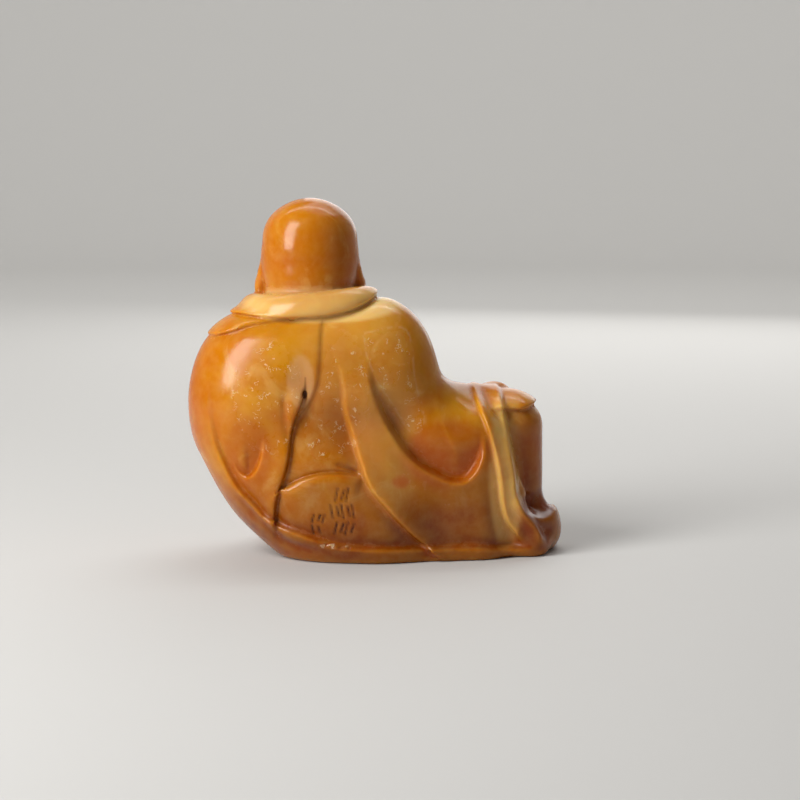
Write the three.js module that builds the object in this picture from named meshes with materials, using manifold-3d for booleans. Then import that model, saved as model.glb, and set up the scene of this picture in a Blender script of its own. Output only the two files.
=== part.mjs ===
// A budai figure carved from one piece of amber soapstone. It sits at ease in a loose robe, with its
// right knee raised under its right arm. Millimetres, +Z up. The underside is the plane z = 0 and the
// figure faces +Y, so its back is towards -Y and its right knee towards +X.
import * as THREE from "three";
import { mergeVertices } from "three/addons/utils/BufferGeometryUtils.js";
import Module from "manifold-3d";

// Driving dimensions in millimetres.
const HEIGHT = 58; // from the underside to the crown of the head
const FACETS = 9300; // how many triangles the carving is left with

// Every place, size and depth below is a share of the figure's height, in hundredths of it.
const SHARE = HEIGHT / 100;
const CELL = 1.3; // side of the cells that the surface is read on

// The stone's colour and polish.
const STONE_COLOUR = 0xd8902a;
const STONE_ROUGHNESS = 0.3;

// Shapes are functions of x, y and z that are negative inside the stone. These make and combine them.
const mix = (from, to, share) => from + (to - from) * share;
const clamp = (value) => Math.min(1, Math.max(0, value));
const ease = (value) => clamp(value) ** 2 * (3 - 2 * clamp(value));
const length = (x, y, z) => Math.sqrt(x * x + y * y + z * z);

// The smaller of two values, with their meeting rounded off over the blend.
function softMin(a, b, blend) {
  const gap = Math.abs(a - b);
  const share = gap < blend ? 1 - gap / blend : 0;
  return Math.min(a, b) - share * share * blend * 0.25;
}

const join = (blend, ...shapes) => (x, y, z) => {
  let nearest = Infinity;
  for (const shape of shapes) nearest = softMin(nearest, shape(x, y, z), blend);
  return nearest;
};

const cut = (blend, shape, ...cutters) => (x, y, z) => {
  let left = shape(x, y, z);
  for (const cutter of cutters) left = -softMin(-left, cutter(x, y, z), blend);
  return left;
};

const mirrored = (shape) => (x, y, z) => shape(Math.abs(x), y, z);

// A shape that was made about the origin, turned by angles in degrees about x, y and z, and moved.
function placed(at, [turnX, turnY, turnZ], shape) {
  const [a, b, c] = [turnX, turnY, turnZ].map(THREE.MathUtils.degToRad);
  const turn = new THREE.Matrix4().makeRotationFromEuler(new THREE.Euler(a, b, c)).elements;
  return (x, y, z) => {
    const dx = x - at[0];
    const dy = y - at[1];
    const dz = z - at[2];
    return shape(
      turn[0] * dx + turn[1] * dy + turn[2] * dz,
      turn[4] * dx + turn[5] * dy + turn[6] * dz,
      turn[8] * dx + turn[9] * dy + turn[10] * dz,
    );
  };
}

function egg([cx, cy, cz], [rx, ry, rz]) {
  return (x, y, z) => {
    const a = (x - cx) / rx;
    const b = (y - cy) / ry;
    const c = (z - cz) / rz;
    const reach = length(a, b, c);
    const slope = length(a / rx, b / ry, c / rz);
    return slope < 1e-9 ? -Math.min(rx, ry, rz) : (reach * (reach - 1)) / slope;
  };
}

const turnedEgg = (at, radii, turn) => placed(at, turn, egg([0, 0, 0], radii));

// A round limb that tapers from one radius to the other.
function limb([ax, ay, az], [bx, by, bz], startRadius, endRadius) {
  const [ux, uy, uz] = [bx - ax, by - ay, bz - az];
  const lengthSquared = ux * ux + uy * uy + uz * uz;
  return (x, y, z) => {
    const dx = x - ax;
    const dy = y - ay;
    const dz = z - az;
    const t = clamp((dx * ux + dy * uy + dz * uz) / lengthSquared);
    return length(dx - ux * t, dy - uy * t, dz - uz * t) - mix(startRadius, endRadius, t);
  };
}

// A block about the origin, with half its sizes and the radius of its rounded edges.
const block = ([hx, hy, hz], rounding) => (x, y, z) => {
  const a = Math.abs(x) - hx + rounding;
  const b = Math.abs(y) - hy + rounding;
  const c = Math.abs(z) - hz + rounding;
  const outside = length(Math.max(a, 0), Math.max(b, 0), Math.max(c, 0));
  return outside + Math.min(Math.max(a, b, c), 0) - rounding;
};

// A round cord of one radius, along a smooth curve through the points.
const CORD_STEPS = 4; // straight lengths between two points
function cord(radius, points) {
  const places = points.map((point) => new THREE.Vector3(...point));
  const curve = new THREE.CatmullRomCurve3(places, false, "centripetal");
  const line = curve.getPoints(CORD_STEPS * (points.length - 1)).map((point) => point.toArray());
  return join(0.01, ...line.slice(1).map((point, i) => limb(line[i], point, radius, radius)));
}

// The head is made about the skull's centre, facing +y.
const SKULL = [13.5, 14.3, 14.4];
// A place on the face, from its x and z. The skull's own surface gives y.
const onFace = (x, z) => [x, SKULL[1] * Math.sqrt(1 - (x / SKULL[0]) ** 2 - (z / SKULL[2]) ** 2), z];

function headShape() {
  const crown = egg([0, 0, 4], [13.1, 13.6, 10.3]);
  const skull = join(0.8, join(6, egg([0, 0, 0.2], SKULL), egg([0, 2, -7], [12.2, 12, 8.5])), crown);
  const cheeks = mirrored(egg([6.2, 8.4, -6.4], [5.6, 5, 4.8]));
  const chin = egg([0, 11.6, -12], [4.6, 3.4, 3]);
  const brow = [onFace(1.9, 3.4), onFace(4.4, 4.9), onFace(7.2, 4.6), onFace(9.6, 2.6)];
  const brows = mirrored(cord(0.75, brow));
  const nostrils = mirrored(egg([1.9, 14.8, -3.6], [1.4, 1.5, 1.2]));
  const nose = join(1.2, limb([0, 13.6, 2.4], [0, 16.2, -3], 0.9, 1.8), nostrils);
  const lids = mirrored(egg([5.2, 12, 0.6], [3.2, 1.8, 1.9]));
  const upperLip = mirrored(limb([0, 14.7, -7.3], [3.6, 13.1, -6.9], 0.9, 0.5));
  const lowerLip = limb([-1.7, 14.1, -9.1], [1.7, 14.1, -9.1], 0.95, 0.95);
  const lips = join(0.8, upperLip, lowerLip);
  const face = join(1.4, join(2.5, skull, cheeks, chin), brows, lids, lips, nose);
  const eyeLine = mirrored(cord(0.4, [[2.8, 14.35, 0.1], [5.2, 13.8, -0.75], [7.5, 13.4, 0.1]]));
  const mouthLine = mirrored(cord(0.45, [[0, 15.45, -8.2], [2.6, 14.55, -8], [4.8, 13.3, -6.8]]));
  const earHollow = turnedEgg([15.1, 2, -5], [1, 2.3, 3.4], [8, -12, 0]);
  const ear = cut(0.6, turnedEgg([13.1, 1, -6], [1.8, 3.8, 5.4], [8, -12, 0]), earHollow);
  const lobe = egg([14, 1.8, -10.6], [1.6, 2.6, 3.4]);
  return join(0.5, cut(0.5, face, eyeLine, mouthLine), mirrored(join(1.2, ear, lobe)));
}

// Skin that shows at the front: neck, chest and belly.
function torsoShape() {
  const breasts = join(3, egg([-26, 9.6, 56], [9, 8, 8]), egg([-10.5, 9.6, 56], [9, 8, 8]));
  const navel = egg([-12.5, 29.6, 27.5], [1.1, 2.2, 1]);
  const belly = cut(0.8, egg([-13.5, 12, 31], [19.5, 17, 19.5]), navel);
  const neckBase = egg([-18, 0, 69.5], [15.5, 12.5, 5]);
  const neck = join(1.5, limb([-18.5, 2, 62], [-18.5, 1.2, 78], 12.4, 12.6), neckBase);
  return join(3, breasts, belly, neck, egg([-17, 1, 50], [21, 15, 22]));
}

// The robe's masses over the shoulders, sleeves, seat and raised leg.
function robeShape() {
  const back = egg([-17, -2, 51], [29, 18.5, 21.5]);
  const leftSleeve = egg([-31, -2, 43.2], [21.6, 19, 27.6]);
  const leftForearm = limb([-41, 4, 36], [-32.5, 14, 24], 8.8, 8);
  const lowerLeft = egg([-18, -1, 24], [26, 20, 22.6]);
  const rightShoulder = egg([-1.5, -3, 53.6], [17.8, 15.5, 19.7]);
  const seat = egg([-7, -4, 13], [25, 17.5, 20]);
  const skirt = placed([14, -1, 17], [0, 0, 9], block([24, 14, 27], 12));
  const upperArm = limb([2, -3, 50], [13, 0, 38], 13, 11);
  const forearm = limb([12, 1, 37.2], [27, 9, 38.6], 11, 8.5);
  const drape = limb([34.5, -5, 26], [43, -3, 3], 4.6, 5.6);
  const left = [back, leftSleeve, leftForearm, lowerLeft];
  return join(6, ...left, rightShoulder, seat, skirt, upperArm, forearm, drape);
}

// The collar lies around the back of the neck and comes forward over both shoulders.
function collarShape() {
  const left = [[-30.8, 9, 67.5], [-33.7, 1.5, 69.4], [-29, -7.4, 69.8]];
  const right = [[-7.8, -9.4, 71.6], [-3.3, -1.6, 71.4], [-4, 7.6, 68.6]];
  return cord(4, [...left, [-18.2, -11.4, 70.6], ...right]);
}

function legsShape() {
  const rightThigh = limb([4, 8, 17], [31, 10.5, 35.4], 12, 10);
  const knee = egg([35.4, 7, 38.2], [10.4, 11, 8.3]);
  const rightShin = limb([37, 8, 34], [37.8, 8.5, 9], 10.4, 9.8);
  const rightHem = egg([42.4, 7.5, 6], [10.6, 13, 9.6]);
  const leftThigh = limb([-10, 8, 10], [-22, 16, 9.6], 11, 9.6);
  const leftShin = limb([-21, 20, 8.4], [0, 26, 6.6], 8.4, 5.8);
  return join(3, rightThigh, knee, rightShin, rightHem, leftThigh, leftShin);
}

const FIVE_TOES = [0, 1, 2, 3, 4];
const FOUR_FINGERS = [0, 1, 2, 3];

// A right foot on the ground about its ankle, pointing to +y, with the big toe on its -x side.
function footShape() {
  const ankle = egg([0, -1, 5], [6.6, 7.5, 7.5]);
  const instep = limb([0, 2, 4.4], [-0.5, 11, 2.8], 5.6, 4.4);
  const toes = FIVE_TOES.map((i) => {
    const size = 1 - 0.09 * i;
    return egg([-4.2 + 2.3 * i, 16.6 - 1.2 * i, 1.9 * size], [1.9 * size, 3 * size, 2.3 * size]);
  });
  return join(0.5, join(2, ankle, instep), ...toes);
}

function feetShape() {
  const right = placed([39.6, 13.5, 0], [0, 0, 4], footShape());
  const left = placed([2, 26.5, 0], [0, 0, -72], footShape());
  return join(0.5, right, left);
}

// A hand about its palm, palm down. Its fingers lie side by side and bend down over +y.
function handShape(thumbSide) {
  const palm = egg([0, 0, 0], [5.2, 6, 2.7]);
  const fingers = FOUR_FINGERS.map((i) => {
    const x = -3.5 + 2.35 * i;
    const short = 0.5 * Math.abs(i - 1.5);
    const tip = [x * 0.9, 11 - short, -4.6];
    return cord(1.4, [[x * 0.8, 2.5, 0.7], [x, 6.4, 0.4], [x * 0.95, 9.4 - short, -1.6], tip]);
  });
  const thumb = cord(1.5, [[2.6, -2.4, 0], [5.6, 1.4, -0.8], [5.8, 5.2, -2]]);
  const sidedThumb = (x, y, z) => thumb(x * thumbSide, y, z);
  return join(0.5, palm, ...fingers, sidedThumb);
}

function handsShape() {
  const right = placed([33.6, 15.4, 43.4], [-34, 4, 12], handShape(-1));
  const left = placed([-27, 18.8, 19.3], [-34, 6, 14], handShape(1));
  return join(0.5, right, left);
}

// How sharply a fold steps up from the cloth beside it.
const FOLD_EDGE = 1.6;
const FOLD_STEPS = 6; // straight lengths between two points of a fold
const PLAIN_FOLD = {
  rise: 0,
  riseReach: 6,
  sink: 0,
  sinkReach: 4,
  groove: 0,
  grooveWidth: 1,
  fadeIn: 0,
  fadeOut: 0,
};

// A fold's edge as it shows from the front or back: a smooth line in the x-z plane. The stone rises on
// the left of the line's way and sinks on the right, each over its own reach. A groove may run along it.
// The two fades are the shares of the line over which the fold comes up and dies away.
function fold(points, changes) {
  const shape = { ...PLAIN_FOLD, ...changes };
  const { rise, riseReach, sink, sinkReach, groove, grooveWidth, fadeIn, fadeOut } = shape;
  const steps = FOLD_STEPS * (points.length - 1);
  const line = new THREE.SplineCurve(points.map(([x, z]) => new THREE.Vector2(x, z))).getPoints(steps);
  const reach = 3 * Math.max(riseReach, sinkReach, grooveWidth);
  const box = new THREE.Box2().setFromPoints(line).expandByScalar(reach);
  return (x, z) => {
    if (x < box.min.x || x > box.max.x || z < box.min.y || z > box.max.y) return 0;
    let nearest = Infinity;
    let side = 0;
    let along = 0;
    for (let i = 0; i < steps; i++) {
      const ux = line[i + 1].x - line[i].x;
      const uz = line[i + 1].y - line[i].y;
      const t = clamp(((x - line[i].x) * ux + (z - line[i].y) * uz) / (ux * ux + uz * uz));
      const dx = x - line[i].x - ux * t;
      const dz = z - line[i].y - uz * t;
      const distance = length(dx, 0, dz);
      if (distance < nearest) {
        nearest = distance;
        side = Math.sign(ux * dz - uz * dx);
        along = (i + t) / steps;
      }
    }
    const left = ease(0.5 + (side * nearest) / FOLD_EDGE);
    const raised = rise * Math.exp(-((nearest / riseReach) ** 2));
    const sunk = -sink * Math.exp(-((nearest / sinkReach) ** 2));
    const grooved = -groove * Math.exp(-((nearest / grooveWidth) ** 2));
    const begun = fadeIn ? ease(along / fadeIn) : 1;
    const lasting = fadeOut ? ease((1 - along) / fadeOut) : 1;
    return (mix(sunk, raised, left) + grooved) * begun * lasting;
  };
}

// A fold that comes up and dies away slowly.
const SOFT_ENDS = { fadeIn: 0.25, fadeOut: 0.3 };

// Lower edge of the collar, from over the left shoulder to its tip on the right shoulder.
const COLLAR_EDGE = [
  [-50, 66.5], [-43, 68], [-38, 68.6], [-30, 68], [-21.5, 68], [-14.4, 68.4], [-7, 70], [-1, 72.6],
  [2, 75.5],
];
// Second fold of the collar, over the left shoulder.
const SECOND_COLLAR_FOLD = [[-53, 60.5], [-48, 62.3], [-44, 62.8], [-39, 64.2], [-34, 66], [-24, 67.6]];
// Seam down the middle of the back.
const BACK_SEAM = [
  [-22.4, 38.5], [-20.5, 41.6], [-17.7, 45.4], [-15.7, 50.4], [-15.1, 57], [-14.9, 63.5], [-14.4, 68.4],
];
// The left sleeve's edge, from the hem up to the seam.
const LEFT_SLEEVE_EDGE = [
  [-27.7, 12.5], [-27.3, 17], [-26.2, 21], [-24.6, 25.6], [-23.6, 30], [-22.9, 36], [-21.9, 40],
  [-20.4, 44], [-19.2, 48], [-19, 52],
];
const BESIDE_LEFT_SLEEVE = [[-23.7, 32], [-24.4, 38.8], [-24.8, 44.5], [-24.3, 51]];
// The right side of the robe, where it lies over the seat, and the ridge beside that edge.
const RIGHT_ROBE_EDGE = [
  [-13, 63], [-10.1, 56], [-8.7, 49], [-8.4, 43], [-6.6, 36], [-4.5, 29], [-1.7, 21.8], [3.2, 15.6],
  [8.2, 9.9], [12.4, 5.7], [14.6, 3.8],
];
const RIGHT_ROBE_RIDGE = [[-7, 57], [-3.6, 48], [-2, 42], [0.6, 34], [5, 27], [10, 22]];
// The hollow of the right sleeve ends in this curve.
const RIGHT_SLEEVE_HOLLOW = [
  [29.6, 41], [29.6, 32.6], [28.4, 27.5], [25.6, 23.5], [22.2, 22.7], [18, 24.1], [12.4, 27.5],
  [8.2, 31.7], [4.5, 37.4], [1.1, 44.5], [-1.1, 51.6], [-2, 58],
];
// Both edges of the strip that falls over the knee, and the crease between its two layers.
const STRIP_INNER_EDGE = [
  [26, 50.5], [28.4, 43], [30.7, 37.5], [32.7, 30.7], [34.1, 23.7], [34.9, 16.7], [36.3, 11],
  [38.8, 7.4],
];
const STRIP_OUTER_EDGE = [
  [48.2, 2.5], [45.3, 8.8], [42, 13], [39.7, 18], [39, 24.4], [37.7, 31.4], [36.6, 37.5], [35.5, 44],
  [33.5, 50],
];
const STRIP_CREASE = [[28, 49.5], [31.3, 43.7], [34.9, 37.6], [36.9, 33]];
const UNDER_KNEECAP = [[36.5, 41.3], [41, 41], [45, 42], [50, 44]];
const RIGHT_CUFF = [[55, 17], [50.7, 13], [49.6, 11.2], [46.7, 10.8], [43.4, 12.2], [41, 15], [40.4, 18]];
// Upper edge of the hem, from the right foot to the left and up the left side, and a crease below it.
const HEM_EDGE = [
  [46, 2.8], [35, 3.1], [27, 4], [11.5, 4.2], [-5.9, 5.1], [-13, 6.5], [-25, 10.2], [-27.3, 11.3],
  [-30.7, 13.3], [-34.1, 17], [-38.3, 21.8], [-42, 29], [-43.9, 34.6], [-45.3, 41.7], [-45.6, 50],
  [-44.8, 57],
];
const HEM_CREASE = [[-41, 21.8], [-35.5, 15.6], [-29.3, 9.9], [-25, 6.2], [-18.6, 4.2], [-11.5, 4.3]];
const HIP_CREASE = [[-3, 24.4], [-8.7, 25.5], [-14.4, 25.5], [-20, 24.1], [-24.2, 21.8]];
const SMALL_HIP_CREASE = [[-11.5, 28.3], [-7.3, 26.9], [-3.9, 25.2]];
// A small hollow low on the left sleeve.
const LEFT_HOLLOW = [[-30.4, 36], [-31.8, 28.9], [-34.6, 24.6], [-37.6, 26], [-39.2, 30.4]];

const backFolds = [
  fold(COLLAR_EDGE, { rise: 1, riseReach: 3.6, sink: 0.5, sinkReach: 2.4, groove: 0.3, fadeIn: 0.3 }),
  fold(SECOND_COLLAR_FOLD, { rise: 0.8, riseReach: 2.8, sink: 0.4, sinkReach: 2.6, fadeIn: 0.45 }),
  fold(BACK_SEAM, { rise: 0.45, sink: 0.35, sinkReach: 3, groove: 0.2, fadeIn: 0.2, fadeOut: 0.08 }),
  fold(LEFT_SLEEVE_EDGE, { rise: 1.4, riseReach: 4, sink: 1.2, groove: 0.5, fadeOut: 0.2 }),
  fold(BESIDE_LEFT_SLEEVE, { groove: 0.5, ...SOFT_ENDS }),
  fold(RIGHT_ROBE_EDGE, { rise: 1.1, riseReach: 4.5, sink: 0.9, sinkReach: 3.5, fadeIn: 0.55 }),
  fold(RIGHT_ROBE_RIDGE, { groove: -0.8, grooveWidth: 3.5, ...SOFT_ENDS }),
  fold(RIGHT_SLEEVE_HOLLOW, { rise: 0.9, riseReach: 3, sink: 2.4, sinkReach: 7.5, ...SOFT_ENDS }),
  fold(STRIP_INNER_EDGE, { rise: 1.1, riseReach: 2.4, sink: 0.5, sinkReach: 3, fadeIn: 0.16 }),
  fold(STRIP_OUTER_EDGE, { rise: 1.5, riseReach: 2.4, sink: 1.2, fadeIn: 0.08, fadeOut: 0.16 }),
  fold(STRIP_CREASE, { groove: 0.5, ...SOFT_ENDS }),
  fold(UNDER_KNEECAP, { rise: 0.7, riseReach: 3, sink: 0.8, sinkReach: 3, fadeOut: 0.3 }),
  fold(RIGHT_CUFF, { rise: 0.8, riseReach: 3, sink: 1.2, fadeIn: 0.35, fadeOut: 0.15 }),
  fold(HEM_EDGE, { rise: 1, riseReach: 3.5, sink: 0.9, sinkReach: 3, fadeIn: 0.05, fadeOut: 0.35 }),
  fold(HEM_CREASE, { groove: 0.6, grooveWidth: 1.2, ...SOFT_ENDS }),
  fold(HIP_CREASE, { rise: 0.9, riseReach: 4, sink: 0.7, sinkReach: 3, groove: 0.5, fadeIn: 0.1 }),
  fold(SMALL_HIP_CREASE, { groove: 0.8, ...SOFT_ENDS }),
  fold(LEFT_HOLLOW, { rise: 0.5, sink: 1.7, sinkReach: 4.5, ...SOFT_ENDS }),
];

// The robe's two front edges beside the chest and belly.
const LEFT_LAPEL = [
  [-27, 17], [-31.5, 24], [-34.2, 33], [-35.4, 43], [-35.2, 53], [-33.6, 62], [-30, 70], [-27, 75],
];
const RIGHT_LAPEL = [
  [-9.5, 75], [-5, 69], [0.4, 61], [3.6, 52], [5.6, 43], [6.8, 34], [7, 26], [4.6, 18],
];
const LAPEL = { rise: 1.7, riseReach: 4.4, sink: 2.6, sinkReach: 9 };
// The outer edge of each lapel's band, where it lies on the robe.
const LEFT_LAPEL_BAND = [[-32, 17], [-37.5, 28], [-40, 40], [-40, 53], [-38, 62], [-34.5, 70]];
const RIGHT_LAPEL_BAND = [[-1, 72], [5, 62], [8.6, 52], [11, 42], [12, 32], [10.5, 22]];
// Creases of the two sleeves, of the raised leg and of the leg on the ground.
const FRONT_CREASES = [
  [[-50, 47], [-45.5, 38], [-38, 31]],
  [[-49, 38], [-44, 30], [-37, 25]],
  [[-46, 58], [-43.5, 48], [-41.5, 40]],
  [[6, 66], [11, 56], [15, 47], [22, 43]],
  [[13, 53], [18, 47], [26, 44]],
  [[11, 40], [20, 41], [29, 44]],
  [[13, 30], [22, 34], [30, 41]],
  [[12, 21], [22, 25], [30, 33]],
  [[14, 12], [22, 16], [28, 24]],
  [[29.5, 34], [29, 25], [30, 15], [32, 7]],
  [[34, 34], [34.6, 24], [35, 15]],
  [[43.5, 36], [44, 26], [44, 17], [46, 9]],
  [[-37, 17], [-31, 13.5], [-24, 13], [-17, 15]],
  [[-36, 8], [-28, 6], [-19, 7.5], [-11, 9.5]],
  [[-18, 4], [-10, 4], [-3, 6]],
];
const CREASE = { rise: 0.6, riseReach: 2.6, sink: 0.6, sinkReach: 2.2, groove: 0.4, ...SOFT_ENDS };

const frontFolds = [
  fold(LEFT_LAPEL, { ...LAPEL, fadeIn: 0.12 }),
  fold(RIGHT_LAPEL, { ...LAPEL, fadeOut: 0.12 }),
  fold(LEFT_LAPEL_BAND, { groove: 0.9, grooveWidth: 1.3, fadeIn: 0.2, fadeOut: 0.2 }),
  fold(RIGHT_LAPEL_BAND, { groove: 0.9, grooveWidth: 1.3, fadeIn: 0.2, fadeOut: 0.2 }),
  ...FRONT_CREASES.map((points) => fold(points, CREASE)),
];

// How far the folds stand out of the robe. Those of the back end along a line that lies further forward
// at the knee, and those of the front begin a little in front of it.
const BACK_ENDS = [8, 16]; // by x, from the left half to the knee
const FRONT_BEGINS = 5;
const FADE_DEPTH = 7;
function relief(x, y, z) {
  const reach = mix(...BACK_ENDS, clamp(x / 30));
  const backShare = ease((reach - y) / FADE_DEPTH);
  const frontShare = ease((y - FRONT_BEGINS) / FADE_DEPTH);
  const back = backShare ? backFolds.reduce((sum, one) => sum + one(x, z), 0) : 0;
  const front = frontShare ? frontFolds.reduce((sum, one) => sum + one(x, z), 0) : 0;
  return back * backShare + front * frontShare;
}

// The stone goes on to this plane, a little below the underside, where it is cut off flat later.
const FLOOR = -3;

function stoneShape() {
  const robe = join(3, robeShape(), legsShape());
  const clothed = join(1.5, robe, collarShape());
  const head = placed([-18.5, 3, 85.4], [-4, 0, 0], headShape());
  const bare = join(1.2, torsoShape(), head);
  const carved = (x, y, z) => clothed(x, y, z) - relief(x, y, z);
  const body = join(0.7, bare, carved, feetShape(), handsShape());
  return (x, y, z) => Math.max(body(x, y, z), FLOOR - z);
}

// The box that the surface is read in.
const LOW = [-66, -38, -10];
const HIGH = [66, 52, 118];
const BLOCK = 5; // cells along one side of the blocks that are looked at first
const MARGIN = 3; // how much further than its own size a block may be from the surface and still be read

// The shape's values at the grid points, exact near the surface. Further off, a block has one value.
function sampled(shape, low, counts, cell) {
  const [nx, ny, nz] = counts;
  const values = new Float64Array(nx * ny * nz);
  const valueAt = (i, j, k) => shape(low[0] + i * cell, low[1] + j * cell, low[2] + k * cell);
  const half = (BLOCK - 1) / 2;
  for (let k = 0; k < nz; k += BLOCK)
    for (let j = 0; j < ny; j += BLOCK)
      for (let i = 0; i < nx; i += BLOCK) {
        const middle = valueAt(i + half, j + half, k + half);
        const far = Math.abs(middle) > BLOCK * cell + MARGIN;
        for (let c = k; c < Math.min(k + BLOCK, nz); c++)
          for (let b = j; b < Math.min(j + BLOCK, ny); b++)
            for (let a = i; a < Math.min(i + BLOCK, nx); a++)
              values[(c * ny + b) * nx + a] = far ? middle : valueAt(a, b, c);
      }
  return values;
}

// A cell's eight corners and the twelve edges between them.
const CORNERS = [0, 1, 2, 3, 4, 5, 6, 7].map((c) => [c & 1, (c >> 1) & 1, c >> 2]);
const EDGES = CORNERS.flatMap((_, a) => [1, 2, 4].filter((bit) => !(a & bit)).map((bit) => [a, a | bit]));
const STEPS = [[1, 0, 0], [0, 1, 0], [0, 0, 1]];

// A cell is sound if its inside corners hang together along its edges, and its outside ones too.
const SOUND = Array.from({ length: 256 }, (_, mask) =>
  [0, 1].every((wanted) => {
    const same = CORNERS.map((_, n) => n).filter((n) => ((mask >> n) & 1) === wanted);
    const reached = same.slice(0, 1);
    for (const n of reached) {
      const beside = same.filter((m) => [1, 2, 4].includes(n ^ m));
      reached.push(...beside.filter((m) => !reached.includes(m)));
    }
    return reached.length === same.length;
  }),
);

// Adds grid points to the inside until each cell is sound, so that the surface never touches itself.
function settle(values, [nx, ny, nz]) {
  const offsets = CORNERS.map(([a, b, c]) => (c * ny + b) * nx + a);
  let added = 1;
  while (added) {
    added = 0;
    for (let k = 0; k < nz - 1; k++)
      for (let j = 0; j < ny - 1; j++)
        for (let i = 0; i < nx - 1; i++) {
          const places = offsets.map((offset) => (k * ny + j) * nx + i + offset);
          const mask = places.reduce((sum, place, n) => sum + (values[place] < 0 ? 1 << n : 0), 0);
          if (SOUND[mask]) continue;
          const outside = places.filter((place) => values[place] >= 0);
          const nearest = outside.reduce((best, place) => (values[place] < values[best] ? place : best));
          values[nearest] = -0.1;
          added++;
        }
  }
}

// Reads a shape's surface on a grid of cubic cells: one vertex in each cell that the surface crosses,
// and one four-sided face across each grid edge that it crosses.
function surfaceOf(shape, low, high, cell) {
  const counts = low.map((value, axis) => Math.ceil((high[axis] - value) / cell) + 1);
  const [nx, ny, nz] = counts;
  const indexOf = (i, j, k) => (k * ny + j) * nx + i;
  const values = sampled(shape, low, counts, cell);
  settle(values, counts);
  const vertexOf = new Int32Array(nx * ny * nz).fill(-1);
  const positions = [];
  for (let k = 0; k < nz - 1; k++)
    for (let j = 0; j < ny - 1; j++)
      for (let i = 0; i < nx - 1; i++) {
        const at = CORNERS.map(([a, b, c]) => values[indexOf(i + a, j + b, k + c)]);
        const crossed = EDGES.filter(([a, b]) => at[a] < 0 !== at[b] < 0);
        if (!crossed.length) continue;
        const sum = [0, 0, 0];
        for (const [a, b] of crossed) {
          const t = at[a] / (at[a] - at[b]);
          for (let n = 0; n < 3; n++) sum[n] += mix(CORNERS[a][n], CORNERS[b][n], t);
        }
        vertexOf[indexOf(i, j, k)] = positions.length / 3;
        positions.push(...[i, j, k].map((v, n) => low[n] + (v + sum[n] / crossed.length) * cell));
      }
  const triangles = [];
  for (let k = 1; k < nz - 1; k++)
    for (let j = 1; j < ny - 1; j++)
      for (let i = 1; i < nx - 1; i++)
        for (let axis = 0; axis < 3; axis++) {
          const [a, b, c] = STEPS[axis];
          const here = values[indexOf(i, j, k)];
          const next = values[indexOf(i + a, j + b, k + c)];
          if (here < 0 === next < 0) continue;
          const u = STEPS[(axis + 1) % 3];
          const v = STEPS[(axis + 2) % 3];
          const cellAt = (s, t) => {
            const [di, dj, dk] = u.map((value, n) => value * s + v[n] * t);
            return vertexOf[indexOf(i - di, j - dj, k - dk)];
          };
          const quad = [cellAt(0, 0), cellAt(1, 0), cellAt(1, 1), cellAt(0, 1)];
          if (here > 0) quad.reverse();
          triangles.push(quad[0], quad[1], quad[2], quad[0], quad[2], quad[3]);
        }
  return { positions, triangles };
}

// The sum of squared distances from a set of planes, each weighed by its face's area, as a 4 by 4
// symmetric form. Its ten numbers are kept in the order xx xy xz xw yy yz yw zz zw ww.
function planeForm(p, q, r) {
  const normal = new THREE.Vector3().subVectors(q, p).cross(new THREE.Vector3().subVectors(r, p));
  const area = normal.length() / 2;
  normal.normalize();
  const plane = [normal.x, normal.y, normal.z, -normal.dot(p)];
  return plane.flatMap((a, i) => plane.slice(i).map((b) => a * b * area));
}

function formAt([xx, xy, xz, xw, yy, yz, yw, zz, zw, ww], { x, y, z }) {
  const squares = xx * x * x + yy * y * y + zz * z * z + ww;
  return squares + 2 * (xy * x * y + xz * x * z + yz * y * z + xw * x + yw * y + zw * z);
}

// The place with the least value of the form, or the middle where that place is far off or unclear.
function bestPlace([xx, xy, xz, xw, yy, yz, yw, zz, zw], middle, reach) {
  const matrix = new THREE.Matrix3().set(xx, xy, xz, xy, yy, yz, xz, yz, zz);
  const scale = ((xx + yy + zz) / 3) ** 3;
  if (matrix.determinant() < 1e-3 * scale) return middle;
  const best = new THREE.Vector3(-xw, -yw, -zw).applyMatrix3(matrix.invert());
  return best.distanceTo(middle) < reach ? best : middle;
}

// A heap that gives back its cheapest entry first.
class Queue {
  items = [];

  push(item) {
    const { items } = this;
    let at = items.push(item) - 1;
    while (at > 0) {
      const above = (at - 1) >> 1;
      if (items[above].cost <= item.cost) break;
      items[at] = items[above];
      at = above;
    }
    items[at] = item;
  }

  pop() {
    const { items } = this;
    const first = items[0];
    const last = items.pop();
    if (items.length === 0) return first;
    let at = 0;
    for (;;) {
      let below = 2 * at + 1;
      if (below >= items.length) break;
      if (below + 1 < items.length && items[below + 1].cost < items[below].cost) below++;
      if (items[below].cost >= last.cost) break;
      items[at] = items[below];
      at = below;
    }
    items[at] = last;
    return first;
  }
}

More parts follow.
